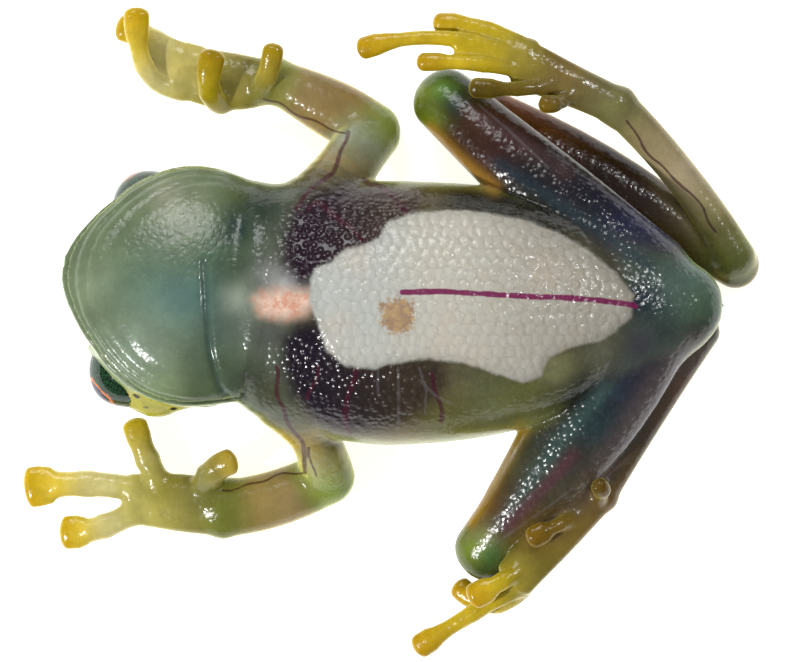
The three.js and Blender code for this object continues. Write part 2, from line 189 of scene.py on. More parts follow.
# Each digit: root, middle and tip, the stalk's half width, the disc's half width and length
DIGITS = {
    "finger_left_1": ([[-6.15, 11.1, 1.5], [-5.75, 11.9, 2.5], [-5.5, 12.95, 2.9]], 0.45, 0.5, 1.3),
    "finger_left_2": ([[-7.9, 10.5, 1.3], [-8.45, 11.2, 2.6], [-8.3, 12.65, 3.05]], 0.5, 0.6, 1.4),
    "finger_left_3": ([[-9.8, 11.15, 1.0], [-11.35, 12.05, 1.5], [-11.8, 14.6, 2.75]], 0.42, 0.6, 1.6),
    "finger_left_4": ([[-9.9, 12.8, 0.9], [-10.9, 13.5, 0.7], [-12.45, 14.05, 0.5]], 0.42, 0.64, 1.3),
    "finger_right_1": ([[-8.8, -7.4, 1.2], [-8.3, -6.5, 2.3], [-7.5, -6.0, 2.85]], 0.6, 0.62, 1.0),
    "finger_right_2": ([[-10.7, -7.1, 1.0], [-11.35, -5.85, 1.2], [-11.9, -4.35, 1.2]], 0.54, 0.6, 1.0),
    "finger_right_3": ([[-12.0, -7.3, 0.85], [-14.14, -7.05, 0.7], [-16.7, -7.2, 0.45]], 0.57, 0.95, 1.35),
    "finger_right_4": ([[-12.0, -8.35, 0.85], [-13.45, -9.05, 0.7], [-15.05, -9.3, 0.45]], 0.54, 0.78, 1.1),
    "toe_left_1": ([[8.2, 10.8, 4.1], [7.6, 10.5, 4.7], [7.05, 10.45, 4.8]], 0.3, 0.42, 0.7),
    "toe_left_2": ([[7.2, 11.3, 4.2], [5.87, 11.15, 4.7], [3.85, 11.2, 4.65]], 0.32, 0.48, 1.3),
    "toe_left_3": ([[6.2, 11.9, 4.2], [3.9, 12.3, 4.4], [1.45, 12.4, 4.05]], 0.34, 0.44, 1.2),
    "toe_left_4": ([[6.2, 12.6, 4.2], [2.3, 13.5, 4.0], [-1.3, 13.05, 3.4]], 0.34, 0.53, 1.5),
    "toe_left_5": ([[6.2, 13.0, 4.1], [4.25, 13.95, 3.8], [2.2, 14.2, 3.45]], 0.36, 0.48, 1.3),
    "toe_right_1": ([[9.1, -7.9, 3.9], [9.6, -7.5, 4.7], [9.5, -7.1, 5.2]], 0.32, 0.42, 0.6),
    "toe_right_2": ([[8.3, -8.65, 4.2], [7.7, -8.85, 4.9], [6.5, -9.45, 5.05]], 0.32, 0.52, 0.9),
    "toe_right_3": ([[5.9, -10.9, 4.1], [5.0, -11.5, 4.6], [3.8, -12.15, 4.5]], 0.4, 0.62, 1.1),
    "toe_right_4": ([[5.9, -11.7, 3.8], [3.9, -12.85, 3.3], [1.3, -14.5, 2.4]], 0.38, 0.58, 1.3),
    "toe_right_5": ([[6.0, -11.9, 3.4], [4.6, -12.6, 2.2], [3.15, -11.85, 1.55]], 0.4, 0.55, 1.1),
}

DISC_DEPTH = 0.36

# Thin skin between two digits, and the fold of skin along the right thigh: from its root to its edge,
# its half widths, and its half thickness
WEBS = {
    "web_left_hand": ([[-9.3, 12.0, 0.95], [-10.5, 12.6, 0.95], [-11.65, 13.3, 0.95]], [1.25, 1.0, 0.7], 0.2),
    "web_right_hand": (
        [[-11.3, -7.75, 0.85], [-11.6, -7.8, 0.8], [-11.95, -7.85, 0.75]], [0.9, 0.6, 0.35], 0.2,
    ),
    "web_left_foot_outer": (
        [[6.3, 12.7, 4.15], [4.9, 13.35, 3.95], [3.3, 13.75, 3.75]], [0.7, 0.5, 0.3], 0.17,
    ),
    "web_left_foot_inner": ([[6.3, 12.2, 4.2], [4.6, 12.75, 4.2], [3.0, 12.95, 4.1]], [0.7, 0.45, 0.3], 0.17),
    "web_right_foot": ([[6.0, -11.3, 3.9], [5.3, -12.0, 3.75], [4.6, -12.4, 3.6]], [0.5, 0.42, 0.3], 0.17),
    "edge_right_thigh": ([[6.2, -4.75, 3.6], [5.0, -7.35, 3.2], [4.25, -9.2, 2.7]], [0.45, 0.55, 0.45], 0.5),
}

# A limb that lies pressed to the one before, and how far its soft join reaches
PRESSED = {"shank_right": 12.0}

# Round pads of the palms: middle, radius and thickness
PADS = [([-6.3, 11.55, 1.55], 0.42, 0.3), ([-8.45, -7.6, 1.45], 0.8, 0.32)]

# The boxes of space that hold the body and the head
TORSO_BOX = ([-8.5, -6.5, -0.5], [16, 8.5, 9])
HEAD_BOX = ([-17, -6.5, -0.5], [-4.5, 10, 9])

# How softly forms run into each other
TORSO_JOIN = 0.1
NECK_JOIN = 1.0
LEAST_JOIN = 0.07
DIGIT_JOIN = 0.45
DIGIT_JOIN_REACH = 0.9
WEB_JOIN = 0.3
PAD_JOIN = 0.25
FLOOR_JOIN = 0.15
ROOM_ROUND_TUBE = 1.2
ROOM_ROUND_PAD = 0.5


# Lines and forms
def bent_line(path, count):
    """Points along the smooth bend through three places."""
    start, middle, end = (np.array(p, float) for p in path)
    bend = 2 * middle - (start + end) / 2
    t = np.linspace(0, 1, count)[:, None]
    return (1 - t) ** 2 * start + 2 * t * (1 - t) * bend + t**2 * end


def smooth_step(low, high, value):
    t = np.clip((value - low) / (high - low), 0, 1)
    return t * t * (3 - 2 * t)


def read_rows(rows, places):
    """Values at any place along rows of [place, value, value...], eased from row to row."""
    rows = np.asarray(rows, float)
    at, values = rows[:, 0], rows[:, 1:]
    order = np.arange(len(at))
    before, after = np.maximum(order - 1, 0), np.minimum(order + 1, len(at) - 1)
    slopes = (values[after] - values[before]) / (at[after] - at[before])[:, None]
    k = np.clip(np.searchsorted(at, places, side="right") - 1, 0, len(at) - 2)
    span = (at[k + 1] - at[k])[:, None]
    t = np.clip((places - at[k])[:, None] / span, 0, 1)
    first = (2 * t**3 - 3 * t**2 + 1) * values[k] + (t**3 - 2 * t**2 + t) * span * slopes[k]
    last = (3 * t**2 - 2 * t**3) * values[k + 1] + (t**3 - t**2) * span * slopes[k + 1]
    return (first + last).astype(np.float32).T


def limb_rings(name):
    """Middle points, half widths and half depths along a limb, digit or web."""
    if name in LIMBS:
        path, wide, deep, _ = LIMBS[name]
        line = bent_line(path, 11)
        halves = read_rows([[i / 2, wide[i], deep[i]] for i in range(3)], np.linspace(0, 1, 11))
        return line, halves[0], halves[1]
    if name in WEBS:
        path, wide, deep = WEBS[name]
        line = bent_line(path, 5)
        return line, np.interp(np.linspace(0, 1, 5), [0, 0.5, 1], wide), np.full(5, deep)
    path, stalk, disc, disc_length = DIGITS[name]
    line = bent_line(path, 14)
    run = np.concatenate([[0], np.cumsum(np.linalg.norm(np.diff(line, axis=0), axis=1))])
    swell = smooth_step(0, 1, (run - (run[-1] - 1.05 * disc_length)) / (0.6 * disc_length))
    knuckle = 1 + 0.12 * np.exp(-(((run / run[-1] - 0.45) / 0.08) ** 2))
    wide = (stalk + (disc - stalk) * swell) * knuckle
    stalk_depth = stalk * 0.85
    return line, wide, stalk_depth + (DISC_DEPTH - stalk_depth) * swell


def tube_distance(points, rings):
    """About how far each point is from the skin of a tube, and how far along the tube it lies, 0 to 1."""
    line, wide, deep = rings
    nearest = np.full(len(points), 99.0, np.float32)
    along_tube = np.zeros(len(points), np.float32)
    for i in range(len(line) - 1):
        span = line[i + 1] - line[i]
        length = np.linalg.norm(span)
        ahead = span / length
        side = np.cross(ahead, [0, 0, 1])
        side /= np.linalg.norm(side)
        top = np.cross(side, ahead)
        offset = points - line[i].astype(np.float32)
        forward = offset @ ahead.astype(np.float32)
        share = np.clip(forward / length, 0, 1)
        beyond = forward - share * length
        across = offset @ side.astype(np.float32)
        high = offset @ top.astype(np.float32)
        w = wide[i] + (wide[i + 1] - wide[i]) * share
        d = deep[i] + (deep[i + 1] - deep[i]) * share
        size = np.sqrt((across / w) ** 2 + (high / d) ** 2 + (beyond / np.minimum(w, d)) ** 2) + 1e-6
        reach = np.sqrt(across**2 + high**2 + beyond**2) + 1e-6
        distance = reach * (1 - 1 / size)
        closer = distance < nearest
        nearest[closer] = distance[closer]
        along_tube[closer] = (i + share[closer]) / (len(line) - 1)
    return nearest, along_tube


def section_distance(across, high, wide, deep, power):
    size = (np.abs(across / wide) ** power + np.abs(high / deep) ** power) ** (1 / power) + 1e-6
    reach = np.sqrt(across**2 + high**2) + 1e-6
    return reach * (1 - 1 / size)


def torso_distance(points):
    x, y, z = points.T
    first, last = TORSO[0, 0], TORSO[-1, 0]
    y0, z0, wide, deep = read_rows(TORSO, x)
    to_chest = np.clip((first + CHEST_ROUNDING - x) / CHEST_ROUNDING, 0, 1)
    to_vent = np.clip((x - last + VENT_ROUNDING) / VENT_ROUNDING, 0, 1)
    dome = np.sqrt(np.clip(1 - to_chest**2, 1e-4, 1)) * np.sqrt(np.clip(1 - to_vent**2, 1e-4, 1))
    across = (y - y0) * math.cos(BODY_ROLL) - (z - z0) * math.sin(BODY_ROLL)
    high = (y - y0) * math.sin(BODY_ROLL) + (z - z0) * math.cos(BODY_ROLL)
    around = section_distance(across, high, wide * dome, deep * dome, BODY_SQUARENESS)
    past = np.maximum(first - x, x - last)
    return np.where(past > 0, np.maximum(around, past), around)


HEAD_BACK = np.array([math.cos(HEAD_YAW), -math.sin(HEAD_YAW), 0])
HEAD_ACROSS = np.array([math.sin(HEAD_YAW), math.cos(HEAD_YAW), 0])
HEAD_LEFT = HEAD_ACROSS * math.cos(HEAD_ROLL) + np.array([0, 0, -math.sin(HEAD_ROLL)])
HEAD_UP = HEAD_ACROSS * math.sin(HEAD_ROLL) + np.array([0, 0, math.cos(HEAD_ROLL)])
HEAD_AXES = np.array([HEAD_BACK, HEAD_LEFT, HEAD_UP])


def on_head(back, left, up):
    """A place given from the snout, to the frog's left and up through the throat."""
    return SNOUT_TIP + np.array([back, left, up]) @ HEAD_AXES


def in_head(points):
    return (points - SNOUT_TIP) @ HEAD_AXES.T


def beside(place, side):
    """A place of the head on its left, 1, or its right, -1."""
    back, out, up = place
    return on_head(back, side * out, up)


def eye_look(side):
    """The way an eye looks: forward, out, and a little towards the back of the frog."""
    ahead, out, up = EYE_LOOK
    look = np.array([ahead, side * out, up]) @ HEAD_AXES
    return look / np.linalg.norm(look)


def blend(a, b, soft):
    """Two distances joined, rounded where they meet."""
    t = np.clip(0.5 + 0.5 * (b - a) / soft, 0, 1)
    return b + (a - b) * t - soft * t * (1 - t)


def carve(a, b, soft):
    """The first form with the second cut away."""
    return -blend(-a, b, soft)


def ball_distance(points, centre, radius):
    return np.linalg.norm(points - centre, axis=1) - radius


def add_lids(form, points, side):
    """The lids over an eye, and the rim round its opening."""
    away = points - beside(EYE_PLACE, side)
    radius = np.linalg.norm(away, axis=1)
    ahead = away @ eye_look(side)
    lids = np.maximum(radius - EYE_RADIUS - LID_THICKNESS, ahead - LID_REACH)
    form = blend(form, lids, soft=0.55)
    from_look = np.sqrt(np.maximum(radius**2 - ahead**2, 0))
    rim = np.sqrt((from_look - EYE_RADIUS - 0.08) ** 2 + (ahead - LID_REACH) ** 2)
    return blend(form, rim - LID_RIM, soft=0.25)


def add_nose(form, points, side):
    form = blend(form, ball_distance(points, beside(NOSE_PLACE, side), NOSE_RADIUS), soft=0.35)
    return carve(form, ball_distance(points, beside(NOSTRIL_PLACE, side), NOSTRIL_RADIUS), soft=0.08)


def add_temple(form, points, side):
    """The smooth swelling from the eye back to the ear, cut open round the eye."""
    eye = beside(EYE_PLACE, side)
    line = np.array([eye, *(beside(place, side) for place in TEMPLE_PATH)])
    form = blend(form, tube_distance(points, (line, TEMPLE_RADII, TEMPLE_RADII))[0], soft=0.5)
    return carve(form, ball_distance(points, eye, EYE_RADIUS + EYE_ROOM), soft=0.08)


def add_ear(form, points, side):
    """The low ring round the ear."""
    back, out, up = ((points - beside(EAR_PLACE, side)) @ HEAD_AXES.T).T
    ring = np.abs(np.hypot(back, up) - EAR_RADIUS) - EAR_RIM
    return blend(form, np.maximum(ring, np.abs(out) - EAR_HEIGHT), soft=0.2)


def head_distance(points):
    back, left, up = in_head(points).T
    at = np.clip(back, 0, HEAD_LENGTH)
    wide, throat, skull = read_rows(HEAD, at)
    around = section_distance(left, up, wide, np.where(up > 0, throat, skull), HEAD_SQUARENESS)
    past = np.maximum(-back, back - HEAD_LENGTH)
    form = np.where(past > 0, np.sqrt(np.maximum(around, 0) ** 2 + past**2), around)
    mouth = np.maximum(np.abs(up - MOUTH_HEIGHT) - MOUTH_HALF_GAP, -MOUTH_DEPTH - around)
    form = carve(form, mouth, soft=0.12)
    for side in SIDES:
        for add_feature in (add_lids, add_nose, add_temple, add_ear):
            form = add_feature(form, points, side)
    return form


# The skin
class Clay:
    """A block of distances that forms are blended into, one small box at a time."""

    def __init__(self):
        self.size = np.ceil((GRID_HIGH - GRID_LOW) / GRID_STEP).astype(int)
        self.field = np.full(self.size, 2.0, np.float32)

    def box(self, low, high):
        first = np.clip(((np.array(low) - GRID_LOW) / GRID_STEP).astype(int), 0, self.size)
        last = np.clip(((np.array(high) - GRID_LOW) / GRID_STEP).astype(int) + 1, 0, self.size)
        part = tuple(slice(a, b) for a, b in zip(first, last))
        places = [GRID_LOW[k] + GRID_STEP * np.arange(first[k], last[k]) for k in range(3)]
        mesh = np.stack(np.meshgrid(*places, indexing="ij"), -1).astype(np.float32)
        return part, mesh.reshape(-1, 3)

    def add(self, low, high, form, soft):
        """soft is one number, or the joint's place, its softness and how far that softness reaches."""
        part, points = self.box(low, high)
        shape = self.field[part].shape
        if isinstance(soft, tuple):
            joint, near, reach = soft
            away = np.sum((points - joint) ** 2, axis=1)
            soft = LEAST_JOIN + near * np.exp(-away / reach**2)
        mixed = blend(self.field[part].ravel(), form(points), soft)
        self.field[part] = mixed.reshape(shape)

    def add_tube(self, name, soft):
        rings = limb_rings(name)
        line, wide, deep = rings
        room = max(wide.max(), deep.max()) + ROOM_ROUND_TUBE
        form = lambda points: tube_distance(points, rings)[0]
        self.add(line.min(0) - room, line.max(0) + room, form, soft)

    def skin(self):
        """The quads of the surface, in millimetres, resting on the floor."""
        height = GRID_LOW[2] + GRID_STEP * np.arange(self.size[2])
        field = carve(self.field, np.broadcast_to(height, self.size).astype(np.float32), FLOOR_JOIN)
        grid = openvdb.FloatGrid(background=1.0)
        grid.copyFromArray(np.clip(field, -1, 1).astype(np.float32))
        points, quads = grid.convertToQuads(isovalue=0.0)
        return points * GRID_STEP + GRID_LOW, quads


def shape_frog():
    clay = Clay()
    clay.add(*TORSO_BOX, torso_distance, TORSO_JOIN)
    clay.add(*HEAD_BOX, head_distance, NECK_JOIN)
    for name, (path, wide, _, soft) in LIMBS.items():
        clay.add_tube(name, (np.array(path[0]), soft, PRESSED.get(name, 1.3 * wide[0] + 0.4)))
    for name, (path, *_) in DIGITS.items():
        clay.add_tube(name, (np.array(path[0]), DIGIT_JOIN, DIGIT_JOIN_REACH))
    for name in WEBS:
        clay.add_tube(name, WEB_JOIN)
    for centre, radius, thick in PADS:
        middle = np.array(centre)
        size = np.array([radius, radius, thick])
        pad = lambda points: (np.linalg.norm((points - middle) / size, axis=1) - 1) * thick
        clay.add(middle - radius - ROOM_ROUND_PAD, middle + radius + ROOM_ROUND_PAD, pad, PAD_JOIN)
    return clay.skin()


# Colours and markings
# How bright the lights make a level white thing
WHITE_LEVEL = 1.3

# The picture's frame, seen from above: its size and the place of zero in steps, and a step in millimetres
PICTURE_SIZE = (803, 662)
PICTURE_ZERO = (392.5, 331.5)
PICTURE_STEP = 0.046


def tone(red, green, blue):
    """The base colour that shows on a level place as a screen colour, 0 to 255."""
    share = np.array([red, green, blue], float) / 255
    linear = np.where(share <= 0.04045, share / 12.92, ((share + 0.055) / 1.055) ** 2.4)
    return linear / WHITE_LEVEL


def tones(*colours):
    return [tone(*colour) for colour in colours]


# Colours along each part, from its root to its tip, as seen from the belly side
TONES = {
    "torso": tones((84, 80, 56)),
    "head": tones((112, 132, 90)),
    "upper_arm_left": tones((64, 66, 60), (86, 76, 50), (150, 136, 92), (147, 156, 128), (140, 150, 76)),
    "forearm_left": tones((126, 142, 58), (136, 108, 64), (150, 126, 76), (152, 130, 84), (134, 124, 62)),
    "hand_left": tones((152, 165, 82), (140, 130, 62), (176, 164, 90), (207, 191, 105)),
    "upper_arm_right": tones((74, 90, 72), (176, 149, 46), (172, 166, 109), (136, 158, 56)),
    "forearm_right": tones((128, 146, 50), (158, 137, 90), (162, 140, 78), (121, 125, 39)),
    "hand_right": tones((114, 122, 52), (156, 148, 72), (178, 168, 84), (204, 192, 92)),
    "thigh_left": tones(
        (54, 56, 67), (46, 48, 72), (36, 38, 66), (21, 16, 35), (29, 25, 34), (33, 28, 29), (55, 29, 25),
        (63, 37, 21), (46, 49, 14),
    ),
    "thigh_right": tones(
        (58, 66, 80), (62, 64, 74), (29, 23, 49), (36, 28, 39), (47, 47, 46), (59, 63, 53), (71, 69, 47),
        (91, 63, 28), (43, 47, 11),
    ),
    "shank_left": tones(
        (96, 72, 36), (134, 73, 32), (87, 46, 15), (37, 17, 7), (52, 34, 28), (80, 66, 40), (108, 112, 60),
    ),
    "shank_right": tones(
        (112, 100, 60), (115, 82, 65), (91, 70, 60), (68, 71, 64), (80, 72, 64), (86, 86, 78), (96, 96, 84),
    ),
    "tarsus_left": tones(
        (116, 122, 64), (132, 128, 77), (160, 149, 106), (179, 163, 129), (164, 149, 111), (149, 135, 94),
        (125, 129, 70),
    ),
    "tarsus_right": tones((92, 88, 78), (100, 76, 56), (76, 62, 42), (124, 98, 40)),
    "foot_left": tones((130, 118, 80), (121, 112, 69), (137, 114, 58), (124, 111, 33)),
    "foot_right": tones((132, 100, 50), (146, 124, 48), (112, 106, 28)),
    "finger_left_1": tones((140, 134, 66), (170, 152, 57), (168, 141, 4)),
    "finger_left_2": tones((156, 140, 50), (173, 155, 21), (171, 141, 1)),
    "finger_right_1": tones((105, 104, 47), (154, 146, 72), (192, 166, 60)),
    "finger_right_2": tones((144, 135, 44), (196, 185, 104), (217, 190, 40)),
    "toe_left_1": tones((118, 104, 50), (116, 90, 5)),
    "toe_left_2": tones((112, 98, 50), (105, 85, 11), (88, 70, 1)),
    "toe_right_1": tones((108, 92, 50), (96, 72, 4)),
    "toe_right_2": tones((136, 114, 35), (118, 93, 9), (120, 89, 1)),
}
FINGER_TONES = tones((190, 180, 106), (214, 204, 136), (224, 210, 132), (224, 198, 66), (212, 174, 8))
TOE_TONES = tones((164, 148, 60), (198, 173, 22), (210, 181, 34), (193, 152, 1))
BACK_GREEN = tone(126, 146, 44)
BACK_YELLOW = tone(186, 176, 40)
CHEST_GREY = tone(98, 106, 88)
RUMP_GREEN = tone(80, 100, 88)
HEART_PINK = tone(250, 214, 192)
TEMPLE_YELLOW = tone(196, 186, 50)
STRIP_YELLOW = tone(176, 134, 24)
# Painted light: the glow of light through the thin edges of the arms, the trunk and the shanks
EDGE_GLOW_ARM = tone(214, 204, 104)
EDGE_GLOW_TRUNK = tone(156, 166, 92)
EDGE_GLOW_SHANK = tone(170, 124, 56)


def spot(u, v):
    """A place seen from above, u steps to the right and v down from the top left of the picture's frame."""
    return np.array([(u - PICTURE_ZERO[0]) * PICTURE_STEP, (PICTURE_ZERO[1] - v) * PICTURE_STEP])


def outline(*places):
    return np.array([spot(u, v) for u, v in places])


GUT = outline(
    (310, 280), (318, 268), (333, 262), (345, 250), (362, 246), (380, 240), (388, 224), (412, 214),
    (448, 211), (486, 214), (522, 221), (552, 232), (584, 250), (612, 272), (632, 296), (628, 318),
    (604, 338), (572, 348), (548, 356), (540, 374), (522, 382), (494, 374), (462, 362), (430, 358),
    (400, 362), (372, 368), (346, 366), (328, 352), (318, 326), (309, 302),
)
LIVER_TOP = outline(
    (286, 262), (286, 240), (296, 214), (318, 196), (350, 186), (392, 184), (420, 196), (414, 214),
    (392, 226), (380, 244), (350, 252), (330, 264), (312, 280), (300, 284),
)
LIVER_LOW = outline(
    (286, 340), (300, 328), (318, 326), (330, 352), (350, 366), (376, 366), (410, 360), (440, 362),
    (442, 384), (424, 404), (392, 424), (352, 430), (318, 416), (296, 392), (286, 366),
)
HEART = outline(
    (254, 298), (264, 291), (288, 289), (310, 292), (317, 303), (306, 316), (280, 320), (260, 315),
)
YOLK = outline((380, 302), (396, 297), (412, 300), (417, 316), (409, 332), (392, 335), (380, 324))
MAIN_VEIN = outline((402, 293), (440, 292), (476, 294), (520, 297), (560, 298), (600, 301), (634, 306))

# Each vessel: its half width and its line
VESSELS = {
    "left arm": (0.12, outline(
        (296, 208), (304, 196), (318, 186), (332, 172), (340, 156), (345, 143), (347, 133),
    )),
    "left liver": (0.14, outline((308, 209), (318, 203), (333, 213), (349, 227), (361, 240))),
    "left flank": (0.14, outline((364, 179), (386, 190), (398, 203), (406, 213))),
    "right arm": (0.12, outline((277, 368), (279, 400), (287, 420), (300, 438), (306, 456), (304, 472))),
    "right liver": (0.15, outline((356, 367), (352, 389), (344, 410), (350, 434))),
    "right liver, small": (0.11, outline((319, 367), (315, 384), (308, 398))),
    "right elbow": (0.06, outline((308, 448), (312, 462), (315, 478))),
    "right forearm": (0.06, outline((304, 472), (274, 476), (254, 484), (237, 489), (222, 491))),
    "left forearm": (0.06, outline((262, 97), (276, 102), (290, 110), (300, 114), (322, 124), (344, 134))),
    "left tarsus": (0.07, outline((628, 122), (654, 160), (680, 182), (704, 208), (716, 232))),
    "right flank": (0.12, outline((430, 372), (438, 396), (442, 420))),
}
THROAT_FOLD = outline((205, 262), (207, 300), (211, 350), (220, 386), (243, 419))
PALE_LINES = {
    "first of the right flank": outline((378, 364), (378, 395)),
    "second of the right flank": outline((398, 367), (399, 400), (398, 429)),
    "third of the right flank": outline((419, 367), (426, 390), (425, 413)),
    "branch of the third": outline((420, 380), (436, 396), (452, 404)),
    "right thigh": outline((571, 489), (535, 516), (497, 542)),
    "left thigh": outline((478, 104), (507, 129), (548, 168)),
}

# Patches under the clear skin of the belly side: place, how far it reaches in millimetres, colour, strength
THROAT = {
    "snout": (95, 285, 1.3, tone(150, 163, 133), 0.8),
    "front of the throat": (150, 285, 2.0, tone(98, 131, 117), 0.8),
    "blue middle": (185, 300, 1.5, tone(100, 144, 148), 0.8),
    "pale left jaw muscle": (182, 212, 1.5, tone(158, 163, 136), 0.8),
    "grey spot of the left jaw": (165, 196, 0.7, tone(169, 164, 146), 0.6),
    "shade beside the left jaw muscle": (166, 242, 1.2, tone(87, 105, 90), 0.6),
    "left of the neck": (215, 250, 1.2, tone(64, 97, 79), 0.9),
    "teal neck": (216, 294, 1.4, tone(47, 86, 86), 0.9),
    "right of the neck": (222, 332, 1.2, tone(80, 102, 98), 0.9),
    "dark spot right of the neck": (204, 362, 1.4, tone(46, 70, 56), 0.9),
    "pale right jaw muscle": (160, 392, 1.3, tone(159, 182, 126), 0.7),
    "pale right side": (140, 350, 1.8, tone(159, 176, 159), 0.8),
    "left corner of the jaw": (240, 198, 0.8, tone(88, 96, 38), 0.9),
    "right corner of the jaw": (200, 402, 0.9, tone(48, 63, 20), 0.9),
}
CHEST = {
    "left of the neck": (240, 228, 1.1, tone(37, 62, 55), 0.95),
    "front of the left arm": (262, 206, 1.1, tone(37, 54, 41), 0.9),
    "right of the neck": (232, 382, 1.1, tone(76, 93, 69), 0.9),
    "before the right arm": (252, 376, 1.0, tone(67, 78, 63), 0.9),
    "root of the right arm": (270, 396, 1.0, tone(64, 64, 39), 0.8),
    "left breast": (250, 272, 1.2, tone(48, 71, 48), 0.9),
    "cloudy film by the heart": (270, 276, 0.9, tone(136, 138, 133), 0.9),
    "white film left of the heart": (294, 284, 0.8, tone(220, 220, 218), 0.7),
    "pale skin before the heart": (240, 300, 0.8, tone(155, 165, 149), 0.9),
    "grey skin before the heart": (246, 330, 1.0, tone(96, 108, 98), 0.7),
    "right of the heart": (270, 335, 0.9, tone(90, 92, 88), 0.6),
}
FLANKS = {
    "left flank, front": (430, 194, 1.4, tone(96, 85, 44), 0.9),
    "left flank, middle": (464, 200, 1.2, tone(20, 20, 6), 0.9),
    "left flank, rear": (505, 204, 1.9, tone(20, 20, 8), 0.95),
    "left groin": (548, 216, 1.2, tone(12, 12, 4), 0.85),
    "right flank, front": (460, 396, 1.4, tone(104, 93, 70), 0.9),
    "right flank, middle": (494, 402, 1.8, tone(104, 109, 76), 0.9),
    "right flank, rear": (526, 404, 1.5, tone(109, 111, 55), 0.9),
    "right groin, front": (556, 394, 1.0, tone(71, 73, 30), 0.8),
    "right groin, dark": (580, 384, 0.9, tone(10, 24, 8), 0.9),
    "right of the gut's end": (600, 354, 0.9, tone(110, 112, 92), 0.8),
    "right rim of the gut": (556, 368, 0.9, tone(145, 146, 103), 0.7),
    "behind the right arm": (345, 436, 1.2, tone(42, 24, 12), 0.8),
    "right edge, front": (400, 440, 1.6, tone(108, 87, 41), 0.8),
    "right edge, middle": (450, 428, 1.6, tone(102, 102, 35), 0.8),
}
RUMP = {
    "end of the vein": (640, 300, 0.9, tone(10, 12, 42), 0.95),
    "before the vent": (656, 302, 0.9, tone(22, 44, 54), 0.9),
    "left buttock": (684, 290, 1.2, tone(97, 122, 112), 0.9),
    "vent": (702, 306, 1.0, tone(81, 108, 82), 0.9),
    "edge of the right buttock": (705, 338, 1.1, tone(41, 39, 26), 0.8),
    "right buttock": (662, 332, 0.9, tone(49, 63, 57), 0.9),
    "root of the right thigh": (640, 344, 0.9, tone(62, 60, 69), 0.9),
    "teal right thigh": (600, 422, 1.2, tone(29, 66, 74), 0.8),
    "dark right thigh": (578, 406, 0.8, tone(12, 9, 16), 0.9),
    "blue right thigh": (622, 392, 0.9, tone(41, 55, 70), 0.8),
    "skin of the right knee": (480, 540, 0.8, tone(166, 170, 116), 0.7),
    "blue left groin": (590, 215, 1.0, tone(27, 38, 51), 0.6),
    "inside the left knee": (452, 102, 0.9, tone(26, 34, 29), 0.6),
    "root of the left shank": (470, 92, 0.7, tone(38, 45, 20), 0.6),
}
KNEES = {
    "left knee": (422, 90, 0.8, tone(125, 140, 35), 0.9),
    "green left knee": (444, 86, 0.7, tone(114, 160, 78), 0.85),
    "behind the left knee": (456, 104, 0.5, tone(32, 56, 57), 0.8),
    "yellow edge of the left knee": (430, 120, 0.7, tone(122, 141, 27), 0.8),
    "right knee": (470, 552, 0.8, tone(132, 154, 30), 0.9),
    "blue green side of the right knee": (492, 556, 0.7, tone(56, 111, 61), 0.8),
    "root of the right knee": (462, 534, 0.5, tone(125, 128, 69), 0.7),
}

# The yellow, freckled skin along the inner edge of the right thigh
YELLOW_STRIP = outline((520, 430), (498, 468), (470, 520))

# Bands of colour along a line: the line, its half width, colour and strength
BANDS = {
    "teal right thigh": (outline((604, 388), (560, 440), (502, 524)), 0.42, tone(62, 92, 88), 0.65),
    "purple right thigh": (outline((572, 456), (540, 492), (506, 526)), 0.35, tone(98, 50, 66), 0.65),
    "yellow edge of the right thigh": (YELLOW_STRIP, 0.4, tone(150, 116, 22), 0.85),
    "brown side of the right leg": (outline(
        (606, 470), (576, 500), (548, 526),
    ), 0.8, tone(96, 80, 62), 0.75),
    "grey rear of the right leg": (outline(
        (694, 346), (654, 386), (628, 428), (598, 476),
    ), 0.65, tone(100, 88, 86), 0.75),
    # Painted shade along the crease of the throat's fold
    "painted shade in the throat's fold": (THROAT_FOLD, 0.14, tone(60, 86, 80), 0.5),
    "teal left thigh": (outline((500, 165), (560, 205), (648, 266)), 0.35, tone(36, 60, 72), 0.55),
    "purple left thigh": (outline((468, 108), (520, 142), (566, 172)), 0.4, tone(94, 66, 66), 0.5),
    "orange edge of the left thigh": (outline(
        (430, 130), (460, 160), (494, 188),
    ), 0.35, tone(176, 130, 52), 0.8),
}

# The two lobes of the liver: front and rear colour of each
LIVER_TONES = [
    (tone(38, 14, 34), tone(72, 56, 44)),
    (tone(28, 14, 34), tone(62, 50, 38)),
]

# How far from a part's surface its zone begins, and where it is full, in millimetres
TRUNK_FADE = (0.7, 0.1)
THIGH_FADE = (0.4, -0.2)
LIMB_FADE = (0.3, -0.1)
DIGIT_FADE = (0.25, 0.0)
TEMPLE_FADE = (2.5, 1.5)
COLOUR_BLEND = 0.45
STRIP_WIDTH = 0.3

# How far the skin faces up where a zone begins, and where it is full: 1 is level, -1 is its underside
BELLY_TURN = (-0.1, 0.4)
EDGE_TURN = (0.6, 0.0)
BACK_TURN = (0.05, -0.35)
UNDER_TURN = (-0.35, -0.8)
GRAIN_TURN = (0.3, 0.85)

BRIGHTEST = 0.85
VESSEL_SWAY = 0.06

# What a mask holds where its marking can't show
FAR = 9


def outline_depth(points, corners):
    """How deep each flat point lies inside a closed outline, below 0 outside it."""
    inside = np.zeros(len(points), bool)
    nearest = np.full(len(points), 99.0)
    for a, b in zip(corners, np.roll(corners, -1, axis=0)):
        nearest = np.minimum(nearest, line_distance(points, [a, b]))
        crosses = (a[1] > points[:, 1]) != (b[1] > points[:, 1])
        rise = np.where(np.abs(b[1] - a[1]) < 1e-9, 1e-9, b[1] - a[1])
        inside ^= crosses & (points[:, 0] < (b[0] - a[0]) * (points[:, 1] - a[1]) / rise + a[0])
    return np.where(inside, nearest, -nearest)


